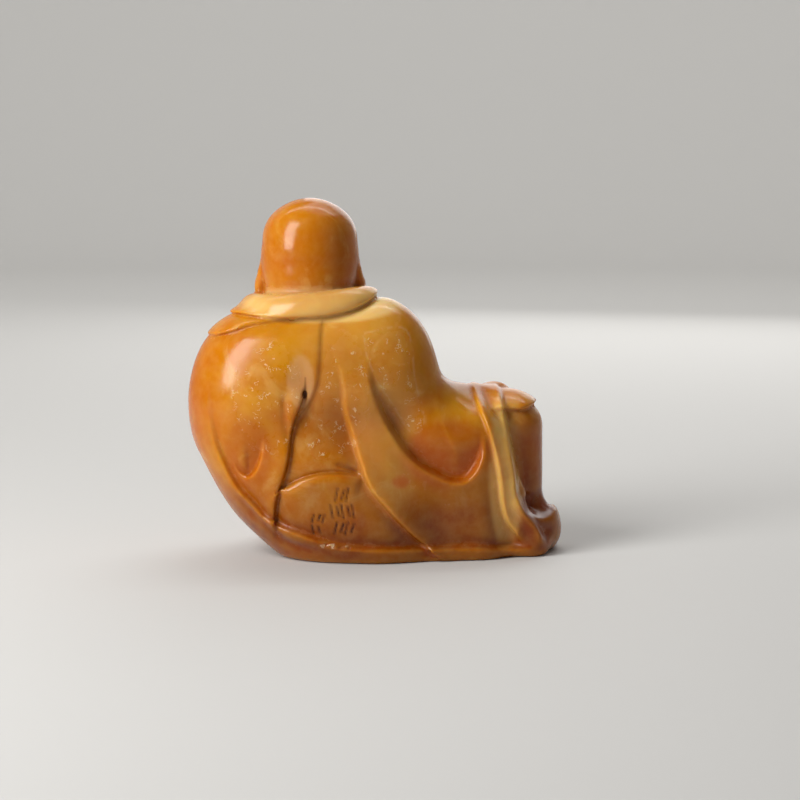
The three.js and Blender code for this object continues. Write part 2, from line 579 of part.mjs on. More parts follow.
// Draws the two ends of an edge together, cheapest edge first, until so many triangles are left. Flat
// places lose most. An edge stays where its loss would close a hole or turn a triangle over.
const EVENNESS = 1e-4; // how much a long edge costs, so that the triangles stay even
const LEAST_TURN = 0.2; // cosine of the most that a triangle may turn
function thinned(places, faces, target) {
  const facesOf = places.map(() => new Set());
  const forms = places.map(() => new Array(10).fill(0));
  const version = places.map(() => 0);
  faces.forEach((face, f) => {
    const form = planeForm(...face.map((v) => places[v]));
    for (const v of face) {
      facesOf[v].add(f);
      form.forEach((value, n) => (forms[v][n] += value));
    }
  });
  const neighboursOf = (v) => {
    const corners = [...facesOf[v]].flatMap((f) => faces[f]);
    return new Set(corners.filter((other) => other !== v));
  };
  const queue = new Queue();
  const consider = (a, b) => {
    const form = forms[a].map((value, n) => value + forms[b][n]);
    const gap = places[a].distanceTo(places[b]);
    const place = bestPlace(form, places[a].clone().lerp(places[b], 0.5), gap);
    const cost = formAt(form, place) + EVENNESS * gap * gap;
    queue.push({ a, b, form, place, cost, made: version[a] + version[b] });
  };
  const turnsOver = (v, other, place) =>
    [...facesOf[v]].some((f) => {
      if (faces[f].includes(other)) return false;
      const before = new THREE.Triangle(...faces[f].map((n) => places[n]));
      const after = new THREE.Triangle(...faces[f].map((n) => (n === v ? place : places[n])));
      const turn = before.getNormal(new THREE.Vector3()).dot(after.getNormal(new THREE.Vector3()));
      return turn < LEAST_TURN;
    });
  for (const [a, b, c] of faces) {
    for (const [u, v] of [[a, b], [b, c], [c, a]]) if (u < v) consider(u, v);
  }
  let left = faces.length;
  while (left > target && queue.items.length) {
    const { a, b, form, place, made } = queue.pop();
    if (version[a] + version[b] !== made || !facesOf[a].size || !facesOf[b].size) continue;
    const around = neighboursOf(a);
    const shared = [...neighboursOf(b)].filter((v) => around.has(v));
    if (shared.length !== 2 || turnsOver(a, b, place) || turnsOver(b, a, place)) continue;
    for (const f of [...facesOf[b]]) {
      if (faces[f].includes(a)) {
        for (const v of faces[f]) facesOf[v].delete(f);
        faces[f] = null;
        left--;
      } else {
        faces[f] = faces[f].map((v) => (v === b ? a : v));
        facesOf[a].add(f);
      }
    }
    facesOf[b].clear();
    places[a] = place;
    forms[a] = form;
    version[a]++;
    version[b] = Infinity;
    for (const v of neighboursOf(a)) consider(a, v);
  }
  return faces.filter((face) => face);
}

const wasm = await Module();
wasm.setup();

function solidOf(geometry) {
  const bare = geometry.clone();
  bare.deleteAttribute("normal");
  bare.deleteAttribute("uv");
  const merged = mergeVertices(bare, 1e-4);
  return new wasm.Manifold(
    new wasm.Mesh({
      numProp: 3,
      vertProperties: new Float32Array(merged.attributes.position.array),
      triVerts: new Uint32Array(merged.index.array),
    }),
  );
}

function geometryOf(solid) {
  const mesh = solid.getMesh();
  return new THREE.BufferGeometry()
    .setAttribute("position", new THREE.BufferAttribute(new Float32Array(mesh.vertProperties), 3))
    .setIndex(new THREE.BufferAttribute(new Uint32Array(mesh.triVerts), 1));
}

// The stone, with everything below the underside cut away.
function figureGeometry() {
  const { positions, triangles } = surfaceOf(stoneShape(), LOW, HIGH, CELL);
  const places = [];
  for (let n = 0; n < positions.length; n += 3) {
    places.push(new THREE.Vector3(...positions.slice(n, n + 3)).multiplyScalar(SHARE));
  }
  const faces = [];
  for (let n = 0; n < triangles.length; n += 3) faces.push(triangles.slice(n, n + 3));
  const kept = thinned(places, faces, FACETS);
  const rough = new THREE.BufferGeometry().setFromPoints(places).setIndex(kept.flat());
  const below = new THREE.BoxGeometry(3 * HEIGHT, 3 * HEIGHT, HEIGHT).translate(0, 0, -HEIGHT / 2);
  return geometryOf(solidOf(rough).subtract(solidOf(below)));
}

const stone = new THREE.MeshStandardMaterial({
  color: STONE_COLOUR,
  roughness: STONE_ROUGHNESS,
  metalness: 0,
});
const figure = new THREE.Mesh(figureGeometry(), stone);
figure.name = "budai_figure";

const group = new THREE.Group();
group.add(figure);
export default group;
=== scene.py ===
"""Blender scene of the carved soapstone budai: the same forms as the solid, read on a finer grid, with the
stone's fine work, colour and polish. Metres, +Z up, back towards -Y."""

import math

import bmesh
import bpy
import numpy as np
from mathutils import Euler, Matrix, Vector


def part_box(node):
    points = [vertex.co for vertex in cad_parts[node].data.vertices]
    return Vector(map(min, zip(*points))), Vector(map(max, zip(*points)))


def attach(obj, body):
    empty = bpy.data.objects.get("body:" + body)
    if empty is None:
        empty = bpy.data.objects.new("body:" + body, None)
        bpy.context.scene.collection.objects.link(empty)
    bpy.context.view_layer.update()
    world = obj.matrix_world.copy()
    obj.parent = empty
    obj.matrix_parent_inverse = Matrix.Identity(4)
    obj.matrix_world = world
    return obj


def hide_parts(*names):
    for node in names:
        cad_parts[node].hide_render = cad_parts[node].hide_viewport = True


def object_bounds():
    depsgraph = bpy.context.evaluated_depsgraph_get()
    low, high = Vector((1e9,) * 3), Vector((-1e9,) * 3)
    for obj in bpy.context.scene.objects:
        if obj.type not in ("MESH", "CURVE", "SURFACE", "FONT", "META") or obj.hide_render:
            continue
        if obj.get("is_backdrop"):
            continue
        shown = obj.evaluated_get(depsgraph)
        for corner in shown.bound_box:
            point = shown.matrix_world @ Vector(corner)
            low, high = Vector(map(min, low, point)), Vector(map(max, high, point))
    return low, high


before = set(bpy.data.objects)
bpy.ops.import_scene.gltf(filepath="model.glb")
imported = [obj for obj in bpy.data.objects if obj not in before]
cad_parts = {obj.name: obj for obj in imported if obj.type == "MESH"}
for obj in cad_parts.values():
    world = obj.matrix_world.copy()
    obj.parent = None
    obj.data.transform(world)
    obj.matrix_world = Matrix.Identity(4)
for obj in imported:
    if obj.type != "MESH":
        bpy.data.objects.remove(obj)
cad_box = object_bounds()

# The stone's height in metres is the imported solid's own. All places below are hundredths of it.
HEIGHT = float(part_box("budai_figure")[1][2])
SHARE = HEIGHT / 100
CELL = 0.9  # side of the cells that the surface is read on


# Shapes are functions of x, y and z that are negative inside the stone. These make and combine them.
def length(x, y, z):
    return np.sqrt(x * x + y * y + z * z)


def mix(start, end, share):
    return start + (end - start) * share


def ease(value):
    value = np.clip(value, 0, 1)
    return value * value * (3 - 2 * value)


def soft_min(a, b, blend):
    share = np.maximum(0, 1 - np.abs(a - b) / blend)
    return np.minimum(a, b) - share * share * (blend * 0.25)


def join(blend, *shapes):
    def joined(x, y, z):
        nearest = shapes[0](x, y, z)
        for shape in shapes[1:]:
            nearest = soft_min(nearest, shape(x, y, z), blend)
        return nearest
    return joined


def cut(blend, shape, *cutters):
    def left(x, y, z):
        value = shape(x, y, z)
        for cutter in cutters:
            value = -soft_min(-value, cutter(x, y, z), blend)
        return value
    return left


def mirrored(shape):
    return lambda x, y, z: shape(np.abs(x), y, z)


def placed(at, turn, shape):
    """A shape made about the origin, turned by degrees about x, y and z, and moved."""
    m = np.array(Euler([math.radians(v) for v in turn], "ZYX").to_matrix(), dtype=np.float32)

    def moved(x, y, z):
        dx, dy, dz = x - at[0], y - at[1], z - at[2]
        return shape(
            m[0, 0] * dx + m[1, 0] * dy + m[2, 0] * dz,
            m[0, 1] * dx + m[1, 1] * dy + m[2, 1] * dz,
            m[0, 2] * dx + m[1, 2] * dy + m[2, 2] * dz,
        )
    return moved


NEAR_MARGIN = 3  # how far outside its sphere a shape is still worked out


def near(centre, reach, shape):
    """The same shape, worked out only about a sphere that holds it. Further off, the sphere stands in."""
    def bounded(x, y, z):
        value = length(x - centre[0], y - centre[1], z - centre[2]) - reach
        close = value < NEAR_MARGIN
        if close.any():
            value[close] = shape(x[close], y[close], z[close])
        return value
    return bounded


def egg(centre, radii):
    cx, cy, cz = centre
    rx, ry, rz = radii

    def shape(x, y, z):
        a, b, c = (x - cx) / rx, (y - cy) / ry, (z - cz) / rz
        reach = length(a, b, c)
        slope = length(a / rx, b / ry, c / rz)
        return reach * (reach - 1) / np.maximum(slope, 1e-6)
    return shape


def turned_egg(at, radii, turn):
    return placed(at, turn, egg([0, 0, 0], radii))


def limb(a, b, start_radius, end_radius):
    """A round limb that tapers from one radius to the other."""
    ux, uy, uz = (float(e - s) for s, e in zip(a, b))
    square = ux * ux + uy * uy + uz * uz

    def shape(x, y, z):
        dx, dy, dz = x - a[0], y - a[1], z - a[2]
        t = np.clip((dx * ux + dy * uy + dz * uz) / square, 0, 1)
        return length(dx - ux * t, dy - uy * t, dz - uz * t) - mix(start_radius, end_radius, t)
    return shape


def block(halves, rounding):
    def shape(x, y, z):
        a, b, c = (np.abs(v) - half + rounding for v, half in zip((x, y, z), halves))
        outside = length(np.maximum(a, 0), np.maximum(b, 0), np.maximum(c, 0))
        return outside + np.minimum(np.maximum(np.maximum(a, b), c), 0) - rounding
    return shape


def smooth_line(points, steps):
    """A smooth curve through the points, with so many straight lengths between two of them."""
    p = np.array(points, dtype=float)
    p = np.vstack([2 * p[0] - p[1], p, 2 * p[-1] - p[-2]])
    line = []
    for i in range(1, len(p) - 2):
        for n in range(steps):
            t = n / steps
            v0, v1 = (p[i + 1] - p[i - 1]) / 2, (p[i + 2] - p[i]) / 2
            line.append((2 * p[i] - 2 * p[i + 1] + v0 + v1) * t ** 3
                        + (3 * p[i + 1] - 3 * p[i] - 2 * v0 - v1) * t ** 2 + v0 * t + p[i])
    return np.array(line + [p[-2]])


CORD_STEPS = 4


def cord(radius, points):
    """A round cord along a smooth curve through the points."""
    line = smooth_line(points, CORD_STEPS)
    middle = (line.min(0) + line.max(0)) / 2
    reach = float(np.linalg.norm(line - middle, axis=1).max()) + radius
    limbs = [limb(a, b, radius, radius) for a, b in zip(line[:-1], line[1:])]
    return near(middle, reach, join(0.01, *limbs))


# The head is made about the skull's centre, facing +y.
SKULL = [13.5, 14.3, 14.4]


def on_face(x, z):
    """A place on the face, from its x and z."""
    return [x, SKULL[1] * math.sqrt(1 - (x / SKULL[0]) ** 2 - (z / SKULL[2]) ** 2), z]


def head_shape():
    crown = egg([0, 0, 4], [13.1, 13.6, 10.3])
    skull = join(0.8, join(6, egg([0, 0, 0.2], SKULL), egg([0, 2, -7], [12.2, 12, 8.5])), crown)
    cheeks = mirrored(egg([6.2, 8.4, -6.4], [5.6, 5, 4.8]))
    chin = egg([0, 11.6, -12], [4.6, 3.4, 3])
    brow_line = [on_face(1.9, 3.4), on_face(4.4, 4.9), on_face(7.2, 4.6), on_face(9.6, 2.6)]
    brows = mirrored(cord(0.75, brow_line))
    nostrils = mirrored(egg([1.9, 14.8, -3.6], [1.4, 1.5, 1.2]))
    nose = join(1.2, limb([0, 13.6, 2.4], [0, 16.2, -3], 0.9, 1.8), nostrils)
    lids = mirrored(egg([5.2, 12, 0.6], [3.2, 1.8, 1.9]))
    upper_lip = mirrored(limb([0, 14.7, -7.3], [3.6, 13.1, -6.9], 0.9, 0.5))
    lower_lip = limb([-1.7, 14.1, -9.1], [1.7, 14.1, -9.1], 0.95, 0.95)
    face = join(1.4, join(2.5, skull, cheeks, chin), brows, lids, join(0.8, upper_lip, lower_lip), nose)
    eye_line = mirrored(cord(0.4, [[2.8, 14.35, 0.1], [5.2, 13.8, -0.75], [7.5, 13.4, 0.1]]))
    mouth_line = mirrored(cord(0.45, [[0, 15.45, -8.2], [2.6, 14.55, -8], [4.8, 13.3, -6.8]]))
    ear_hollow = turned_egg([15.1, 2, -5], [1, 2.3, 3.4], [8, -12, 0])
    ear = cut(0.6, turned_egg([13.1, 1, -6], [1.8, 3.8, 5.4], [8, -12, 0]), ear_hollow)
    lobe = egg([14, 1.8, -10.6], [1.6, 2.6, 3.4])
    whole = join(0.5, cut(0.5, face, eye_line, mouth_line), mirrored(join(1.2, ear, lobe)))
    return near([0, 0, -1], 21, whole)


def torso_shape():
    """Skin that shows at the front: neck, chest and belly."""
    breasts = join(3, egg([-26, 9.6, 56], [9, 8, 8]), egg([-10.5, 9.6, 56], [9, 8, 8]))
    navel = egg([-12.5, 29.6, 27.5], [1.1, 2.2, 1])
    belly = cut(0.8, egg([-13.5, 12, 31], [19.5, 17, 19.5]), navel)
    neck_foot = egg([-18, 0, 69.5], [15.5, 12.5, 5])
    neck = join(1.5, limb([-18.5, 2, 62], [-18.5, 1.2, 78], 12.4, 12.6), neck_foot)
    beside_belly = egg([5.2, 10, 34.5], [3, 4.5, 6])
    return join(3, breasts, belly, neck, egg([-17, 1, 50], [21, 15, 22]), beside_belly)


def robe_shape():
    """The robe's masses over the shoulders, sleeves, seat and raised leg."""
    back = egg([-17, -2, 51], [29, 18.5, 21.5])
    left_sleeve = egg([-31, -2, 43.2], [21.6, 19, 27.6])
    left_forearm = limb([-41, 4, 36], [-32.5, 14, 24], 8.8, 8)
    lower_left = egg([-18, -1, 24], [26, 20, 22.6])
    right_shoulder = egg([-1.5, -3, 53.6], [17.8, 15.5, 19.7])
    seat = egg([-7, -4, 13], [25, 17.5, 20])
    skirt = placed([14, -1, 17], [0, 0, 9], block([24, 14, 27], 12))
    upper_arm = limb([2, -3, 50], [13, 0, 38], 13, 11)
    forearm = limb([12, 1, 37.2], [27, 9, 38.6], 11, 8.5)
    drape = limb([34.5, -5, 26], [43, -3, 3], 4.6, 5.6)
    left = [back, left_sleeve, left_forearm, lower_left]
    return join(6, *left, right_shoulder, seat, skirt, upper_arm, forearm, drape)


def collar_shape():
    """The collar lies around the back of the neck and comes forward over both shoulders."""
    left = [[-30.8, 9, 67.5], [-33.7, 1.5, 69.4], [-29, -7.4, 69.8]]
    right = [[-7.8, -9.4, 71.6], [-3.3, -1.6, 71.4], [-4, 7.6, 68.6]]
    return cord(4, [*left, [-18.2, -11.4, 70.6], *right])


def legs_shape():
    right_thigh = limb([4, 8, 17], [31, 10.5, 35.4], 12, 10)
    knee = egg([35.4, 7, 38.2], [10.4, 11, 8.3])
    right_shin = limb([37, 8, 34], [37.8, 8.5, 9], 10.4, 9.8)
    right_hem = egg([42.4, 7.5, 6], [10.6, 13, 9.6])
    left_thigh = limb([-10, 8, 10], [-22, 16, 9.6], 11, 9.6)
    left_shin = limb([-21, 20, 8.4], [0, 26, 6.6], 8.4, 5.8)
    return join(3, right_thigh, knee, right_shin, right_hem, left_thigh, left_shin)


def foot_shape():
    """A right foot on the ground about its ankle, pointing to +y, with the big toe on its -x side."""
    ankle = egg([0, -1, 5], [6.6, 7.5, 7.5])
    instep = limb([0, 2, 4.4], [-0.5, 11, 2.8], 5.6, 4.4)
    toes = []
    nails = []
    for i in range(5):
        size = 1 - 0.09 * i
        x, y, z = -4.2 + 2.3 * i, 16.6 - 1.2 * i, 1.9 * size
        toes.append(egg([x, y, z], [1.9 * size, 3 * size, 2.3 * size]))
        nail_place = [x, y + 1.9 * size, z + 1.9 * size]
        nails.append(turned_egg(nail_place, [1.1 * size, 1.3 * size, 0.35], [-32, 0, 0]))
    whole = cut(0.25, join(0.5, join(2, ankle, instep), *toes), *nails)
    return near([0, 6, 4], 17, whole)


def feet_shape():
    right = placed([39.6, 13.5, 0], [0, 0, 4], foot_shape())
    left = placed([2, 26.5, 0], [0, 0, -72], foot_shape())
    return join(0.5, right, left)


def hand_shape(thumb_side):
    """A hand about its palm, palm down, with its fingers side by side and bent down over +y."""
    palm = egg([0, 0, 0], [5.2, 6, 2.7])
    fingers = []
    nails = []
    for i in range(4):
        x = -3.5 + 2.35 * i
        short = 0.5 * abs(i - 1.5)
        tip = [x * 0.9, 11 - short, -4.6]
        fingers.append(cord(1.4, [[x * 0.8, 2.5, 0.7], [x, 6.4, 0.4], [x * 0.95, 9.4 - short, -1.6], tip]))
        nails.append(turned_egg([tip[0], tip[1] + 1.25, tip[2] + 0.1], [0.85, 0.35, 1.1], [0, 0, 0]))
    side = thumb_side
    thumb = cord(1.5, [[2.6 * side, -2.4, 0], [5.6 * side, 1.4, -0.8], [5.8 * side, 5.2, -2]])
    return near([0, 4, -1], 14, cut(0.25, join(0.5, palm, *fingers, thumb), *nails))


def hands_shape():
    right = placed([33.6, 15.4, 43.4], [-34, 4, 12], hand_shape(-1))
    left = placed([-27, 18.8, 19.3], [-34, 6, 14], hand_shape(1))
    return join(0.5, right, left)


# How wide the step between a fold's two sides is, where the fold has no width of its own.
FOLD_EDGE = 1.0
FOLD_STEPS = 6


def fold(
    points, rise=0, rise_reach=6, sink=0, sink_reach=4, groove=0, groove_width=1, fade_in=0, fade_out=0,
    edge=FOLD_EDGE,
):
    """A fold's edge as it shows from the front or back: a smooth line in the x-z plane. The stone rises on
    the left of the line's way and sinks on the right, each over its own reach. A groove may run along it.
    The two fades are the shares of the line over which the fold comes up and dies away, and the edge is the
    width of the step between its sides."""
    line = smooth_line(points, FOLD_STEPS).astype(np.float32)
    steps = len(line) - 1
    reach = 3 * max(rise_reach if rise else 0, sink_reach if sink else 0, groove_width)
    low, high = line.min(0) - reach, line.max(0) + reach

    def height(x, z):
        total = np.zeros_like(x)
        inside = (x > low[0]) & (x < high[0]) & (z > low[1]) & (z < high[1])
        if not inside.any():
            return total
        px, pz = x[inside], z[inside]
        nearest = np.full_like(px, 1e9)
        side = np.zeros_like(px)
        along = np.zeros_like(px)
        for i in range(steps):
            (ax, az), (bx, bz) = line[i], line[i + 1]
            ux, uz = bx - ax, bz - az
            t = np.clip(((px - ax) * ux + (pz - az) * uz) / (ux * ux + uz * uz), 0, 1)
            dx, dz = px - ax - ux * t, pz - az - uz * t
            distance = np.sqrt(dx * dx + dz * dz)
            closer = distance < nearest
            nearest = np.where(closer, distance, nearest)
            side = np.where(closer, np.sign(ux * dz - uz * dx), side)
            along = np.where(closer, (i + t) / steps, along)
        left = ease(0.5 + side * nearest / edge)
        raised = rise * np.exp(-((nearest / rise_reach) ** 2))
        sunk = -sink * np.exp(-((nearest / sink_reach) ** 2))
        grooved = -groove * np.exp(-((nearest / groove_width) ** 2))
        begun = ease(along / fade_in) if fade_in else 1
        lasting = ease((1 - along) / fade_out) if fade_out else 1
        total[inside] = (mix(sunk, raised, left) + grooved) * begun * lasting
        return total
    return height


# A fold that comes up and dies away slowly.
SOFT_ENDS = {"fade_in": 0.25, "fade_out": 0.3}

# Lower edge of the collar, from over the left shoulder to its tip on the right shoulder.
COLLAR_EDGE = [
    [-50, 66.5], [-43, 68], [-38, 68.6], [-30, 68], [-21.5, 68], [-14.4, 68.4], [-7, 70], [-1, 72.6],
    [2, 75.5],
]
# Second fold of the collar, over the left shoulder.
SECOND_COLLAR_FOLD = [[-53, 60.5], [-48, 62.3], [-44, 62.8], [-39, 64.2], [-34, 66], [-24, 67.6]]
# Seam down the middle of the back.
BACK_SEAM = [
    [-22.4, 38.5], [-20.5, 41.6], [-17.7, 45.4], [-15.7, 50.4], [-15.1, 57], [-14.9, 63.5], [-14.4, 68.4],
]
# The left sleeve's edge, from the hem up to the seam.
LEFT_SLEEVE_EDGE = [
    [-27.7, 12.5], [-27.3, 17], [-26.2, 21], [-24.6, 25.6], [-23.6, 30], [-22.9, 36], [-21.9, 40],
    [-20.4, 44], [-19.2, 48], [-19, 52],
]
BESIDE_LEFT_SLEEVE = [[-23.7, 32], [-24.4, 38.8], [-24.8, 44.5], [-24.3, 51]]
# The right side of the robe, where it lies over the seat, and the ridge beside that edge.
RIGHT_ROBE_EDGE = [
    [-13, 63], [-10.1, 56], [-8.7, 49], [-8.4, 43], [-6.6, 36], [-4.5, 29], [-1.7, 21.8], [3.2, 15.6],
    [8.2, 9.9], [12.4, 5.7], [14.6, 3.8],
]
RIGHT_ROBE_RIDGE = [[-7, 57], [-3.6, 48], [-2, 42], [0.6, 34], [5, 27], [10, 22]]
# The hollow of the right sleeve ends in this curve.
RIGHT_SLEEVE_HOLLOW = [
    [29.6, 41], [29.6, 32.6], [28.4, 27.5], [25.6, 23.5], [22.2, 22.7], [18, 24.1], [12.4, 27.5],
    [8.2, 31.7], [4.5, 37.4], [1.1, 44.5], [-1.1, 51.6], [-2, 58],
]
# Both edges of the strip that falls over the knee, and the crease between its two layers.
STRIP_INNER_EDGE = [
    [26, 50.5], [28.4, 43], [30.7, 37.5], [32.7, 30.7], [34.1, 23.7], [34.9, 16.7], [36.3, 11],
    [38.8, 7.4],
]
STRIP_OUTER_EDGE = [
    [48.2, 2.5], [45.3, 8.8], [42, 13], [39.7, 18], [39, 24.4], [37.7, 31.4], [36.6, 37.5], [35.5, 44],
    [33.5, 50],
]
STRIP_CREASE = [[28, 49.5], [31.3, 43.7], [34.9, 37.6], [36.9, 33]]
UNDER_KNEECAP = [[36.5, 41.3], [41, 41], [45, 42], [50, 44]]
RIGHT_CUFF = [[55, 17], [50.7, 13], [49.6, 11.2], [46.7, 10.8], [43.4, 12.2], [41, 15], [40.4, 18]]
# Upper edge of the hem, from the right foot to the left and up the left side, and a crease below it.
HEM_EDGE = [
    [46, 2.8], [35, 3.1], [27, 4], [11.5, 4.2], [-5.9, 5.1], [-13, 6.5], [-25, 10.2], [-27.3, 11.3],
    [-30.7, 13.3], [-34.1, 17], [-38.3, 21.8], [-42, 29], [-43.9, 34.6], [-45.3, 41.7], [-45.6, 50],
    [-44.8, 57],
]
HEM_CREASE = [[-41, 21.8], [-35.5, 15.6], [-29.3, 9.9], [-25, 6.2], [-18.6, 4.2], [-11.5, 4.3]]
HIP_CREASE = [[-3, 24.4], [-8.7, 25.5], [-14.4, 25.5], [-20, 24.1], [-24.2, 21.8]]
SMALL_HIP_CREASE = [[-11.5, 28.3], [-7.3, 26.9], [-3.9, 25.2]]
# A small hollow low on the left sleeve.
LEFT_HOLLOW = [[-30.4, 36], [-31.8, 28.9], [-34.6, 24.6], [-37.6, 26], [-39.2, 30.4]]

back_folds = [
    fold(COLLAR_EDGE, rise=1, rise_reach=3.6, sink=0.5, sink_reach=2.4, groove=0.3, fade_in=0.3),
    fold(SECOND_COLLAR_FOLD, rise=0.8, rise_reach=2.8, sink=0.4, sink_reach=2.6, fade_in=0.45),
    fold(BACK_SEAM, rise=0.3, sink=0.25, sink_reach=3, groove=0.12, fade_in=0.2, fade_out=0.08, edge=2),
    fold(LEFT_SLEEVE_EDGE, rise=1, rise_reach=4, sink=0.6, groove=0.3, fade_out=0.2, edge=1.3),
    fold(BESIDE_LEFT_SLEEVE, groove=0.5, **SOFT_ENDS),
    fold(RIGHT_ROBE_EDGE, rise=1.1, rise_reach=4.5, sink=0.9, sink_reach=3.5, fade_in=0.55, edge=1.8),
    fold(RIGHT_ROBE_RIDGE, groove=-0.8, groove_width=3.5, **SOFT_ENDS),
    fold(RIGHT_SLEEVE_HOLLOW, rise=0.9, rise_reach=3, sink=2.2, sink_reach=7.5, edge=2.2, **SOFT_ENDS),
    fold(STRIP_INNER_EDGE, rise=1.1, rise_reach=2.4, sink=0.5, sink_reach=3, fade_in=0.16, edge=1.5),
    fold(STRIP_OUTER_EDGE, rise=1.4, rise_reach=2.4, sink=1, fade_in=0.08, fade_out=0.16, edge=1.6),
    fold(STRIP_CREASE, groove=0.5, **SOFT_ENDS),
    fold(UNDER_KNEECAP, rise=0.7, rise_reach=3, sink=0.8, sink_reach=3, fade_out=0.3),
    fold(RIGHT_CUFF, rise=0.8, rise_reach=3, sink=0.8, fade_in=0.35, fade_out=0.15, edge=1.6),
    fold(HEM_EDGE, rise=1, rise_reach=3.5, sink=0.8, sink_reach=3, fade_in=0.05, fade_out=0.4, edge=2),
    fold(HEM_CREASE, groove=0.6, groove_width=1.2, **SOFT_ENDS),
    fold(HIP_CREASE, rise=0.9, rise_reach=4, sink=0.7, sink_reach=3, groove=0.5, fade_in=0.1),
    fold(SMALL_HIP_CREASE, groove=0.6, groove_width=0.6, **SOFT_ENDS),
    fold(LEFT_HOLLOW, rise=0.6, sink=1.1, sink_reach=4.5, fade_in=0.25, fade_out=0.6),
]

# The robe's two front edges beside the chest and belly.
LEFT_LAPEL = [
    [-27, 17], [-31.5, 24], [-34.2, 33], [-35.4, 43], [-35.2, 53], [-33.6, 62], [-30, 70], [-27, 75],
]
RIGHT_LAPEL = [
    [-9.5, 75], [-5, 69], [0.4, 61], [3.6, 52], [5.6, 43], [6.8, 34], [7, 26], [4.6, 18],
]
LAPEL = {"rise": 1.7, "rise_reach": 4.4, "sink": 2.6, "sink_reach": 9, "edge": 2.2}
# The outer edge of each lapel's band, where it lies on the robe.
LEFT_LAPEL_BAND = [[-32, 17], [-37.5, 28], [-40, 40], [-40, 53], [-38, 62], [-34.5, 70]]
RIGHT_LAPEL_BAND = [[-1, 72], [5, 62], [8.6, 52], [11, 42], [12, 32], [10.5, 22]]
# Creases of the two sleeves, of the raised leg and of the leg on the ground.
FRONT_CREASES = [
    [[-50, 47], [-45.5, 38], [-38, 31]],
    [[-49, 38], [-44, 30], [-37, 25]],
    [[-46, 58], [-43.5, 48], [-41.5, 40]],
    [[6, 66], [11, 56], [15, 47], [22, 43]],
    [[13, 53], [18, 47], [26, 44]],
    [[11, 40], [20, 41], [29, 44]],
    [[13, 30], [22, 34], [30, 41]],
    [[12, 21], [22, 25], [30, 33]],
    [[14, 12], [22, 16], [28, 24]],
    [[29.5, 34], [29, 25], [30, 15], [32, 7]],
    [[34, 34], [34.6, 24], [35, 15]],
    [[43.5, 36], [44, 26], [44, 17], [46, 9]],
    [[-37, 17], [-31, 13.5], [-24, 13], [-17, 15]],
    [[-36, 8], [-28, 6], [-19, 7.5], [-11, 9.5]],
    [[-18, 4], [-10, 4], [-3, 6]],
]
CREASE = {"rise": 0.6, "rise_reach": 2.6, "sink": 0.6, "sink_reach": 2.2, "groove": 0.4, **SOFT_ENDS}

front_folds = [
    fold(LEFT_LAPEL, **LAPEL, fade_in=0.12),
    fold(RIGHT_LAPEL, **LAPEL, fade_out=0.12),
    fold(LEFT_LAPEL_BAND, groove=0.9, groove_width=1.3, fade_in=0.2, fade_out=0.2),
    fold(RIGHT_LAPEL_BAND, groove=0.9, groove_width=1.3, fade_in=0.2, fade_out=0.2),
    *[fold(points, **CREASE) for points in FRONT_CREASES],
]


# Two short columns of shallow strokes low on the back, in rows side by side. They spell nothing.
STROKE_ROWS = [
    # left end, height of the row's foot, strokes, their height and their lean
    (-10.9, 18.3, 3, 3.4, 0.22), (-11.6, 13.6, 5, 3.6, -0.16), (-11.2, 9, 4, 3.4, 0.26),
    (-17.4, 12.2, 3, 2.2, 0.3), (-16.9, 8.8, 2, 2.4, -0.2),
]
STROKE_GAP = 1.45
STROKE_WIDTH = 0.25
# Every second stroke stands further along and higher, and has only a share of the others' height.
SECOND_SHIFT = 0.3
SECOND_RAISE = 0.5
SECOND_SHARE = 0.72


def strokes(x, z):
    total = np.zeros_like(x)
    for left, foot, count, tall, lean in STROKE_ROWS:
        for i in range(count):
            second = i % 2
            foot_x = left + STROKE_GAP * i + SECOND_SHIFT * second
            foot_z = foot + SECOND_RAISE * second
            ux, uz = lean * tall, tall * (SECOND_SHARE if second else 1)
            t = np.clip(((x - foot_x) * ux + (z - foot_z) * uz) / (ux * ux + uz * uz), 0, 1)
            gap = np.hypot(x - foot_x - ux * t, z - foot_z - uz * t)
            total = np.maximum(total, np.exp(-((gap / STROKE_WIDTH) ** 2)))
    return total


# Chips, the leaf-shaped hollow beside the seam and the pit below it: place, half sizes and depth.
DENTS = [
    ((-13.6, 5.9), (0.9, 0.5), 0.5), ((-11.8, 5.4), (0.7, 0.45), 0.45), ((-9.6, 5.1), (1, 0.45), 0.4),
    ((-19.2, 47.4), (0.55, 1.1), 1.3), ((-20, 52), (3.2, 5.4), 0.6), ((-7.2, 4.9), (0.5, 0.4), 0.3),
]


def dents(x, z):
    total = np.zeros_like(x)
    for centre, halves, depth in DENTS:
        total -= depth * np.exp(-(((x - centre[0]) / halves[0]) ** 2 + ((z - centre[1]) / halves[1]) ** 2))
    return total


# The folds of the back end at a depth that lies further forward at the knee, and those of the front begin
# at a depth of their own. Both come up over the same way.
BACK_ENDS = [8, 16]
KNEE_X = 30
FRONT_BEGINS = 5
FADE_DEPTH = 7
# Chips, pits and strokes lie only behind this depth.
MARKS_END = -4
STROKE_DEPTH = 0.3


def relief(x, y, z):
    """How far the carved lines raise the robe at each place, or sink it where the value is below 0."""
    total = np.zeros_like(x)
    back_end = mix(*BACK_ENDS, np.clip(x / KNEE_X, 0, 1))
    back_share = ease((back_end - y) / FADE_DEPTH)
    front_share = ease((y - FRONT_BEGINS) / FADE_DEPTH)
    for share, folds in ((back_share, back_folds), (front_share, front_folds)):
        shown = share > 0
        if shown.any():
            px, pz = x[shown], z[shown]
            total[shown] += share[shown] * sum(one(px, pz) for one in folds)
    behind = y < MARKS_END
    px, pz = x[behind], z[behind]
    total[behind] += dents(px, pz) - STROKE_DEPTH * strokes(px, pz)
    return total


def clothed_shape():
    return join(1.5, join(3, robe_shape(), legs_shape()), collar_shape())


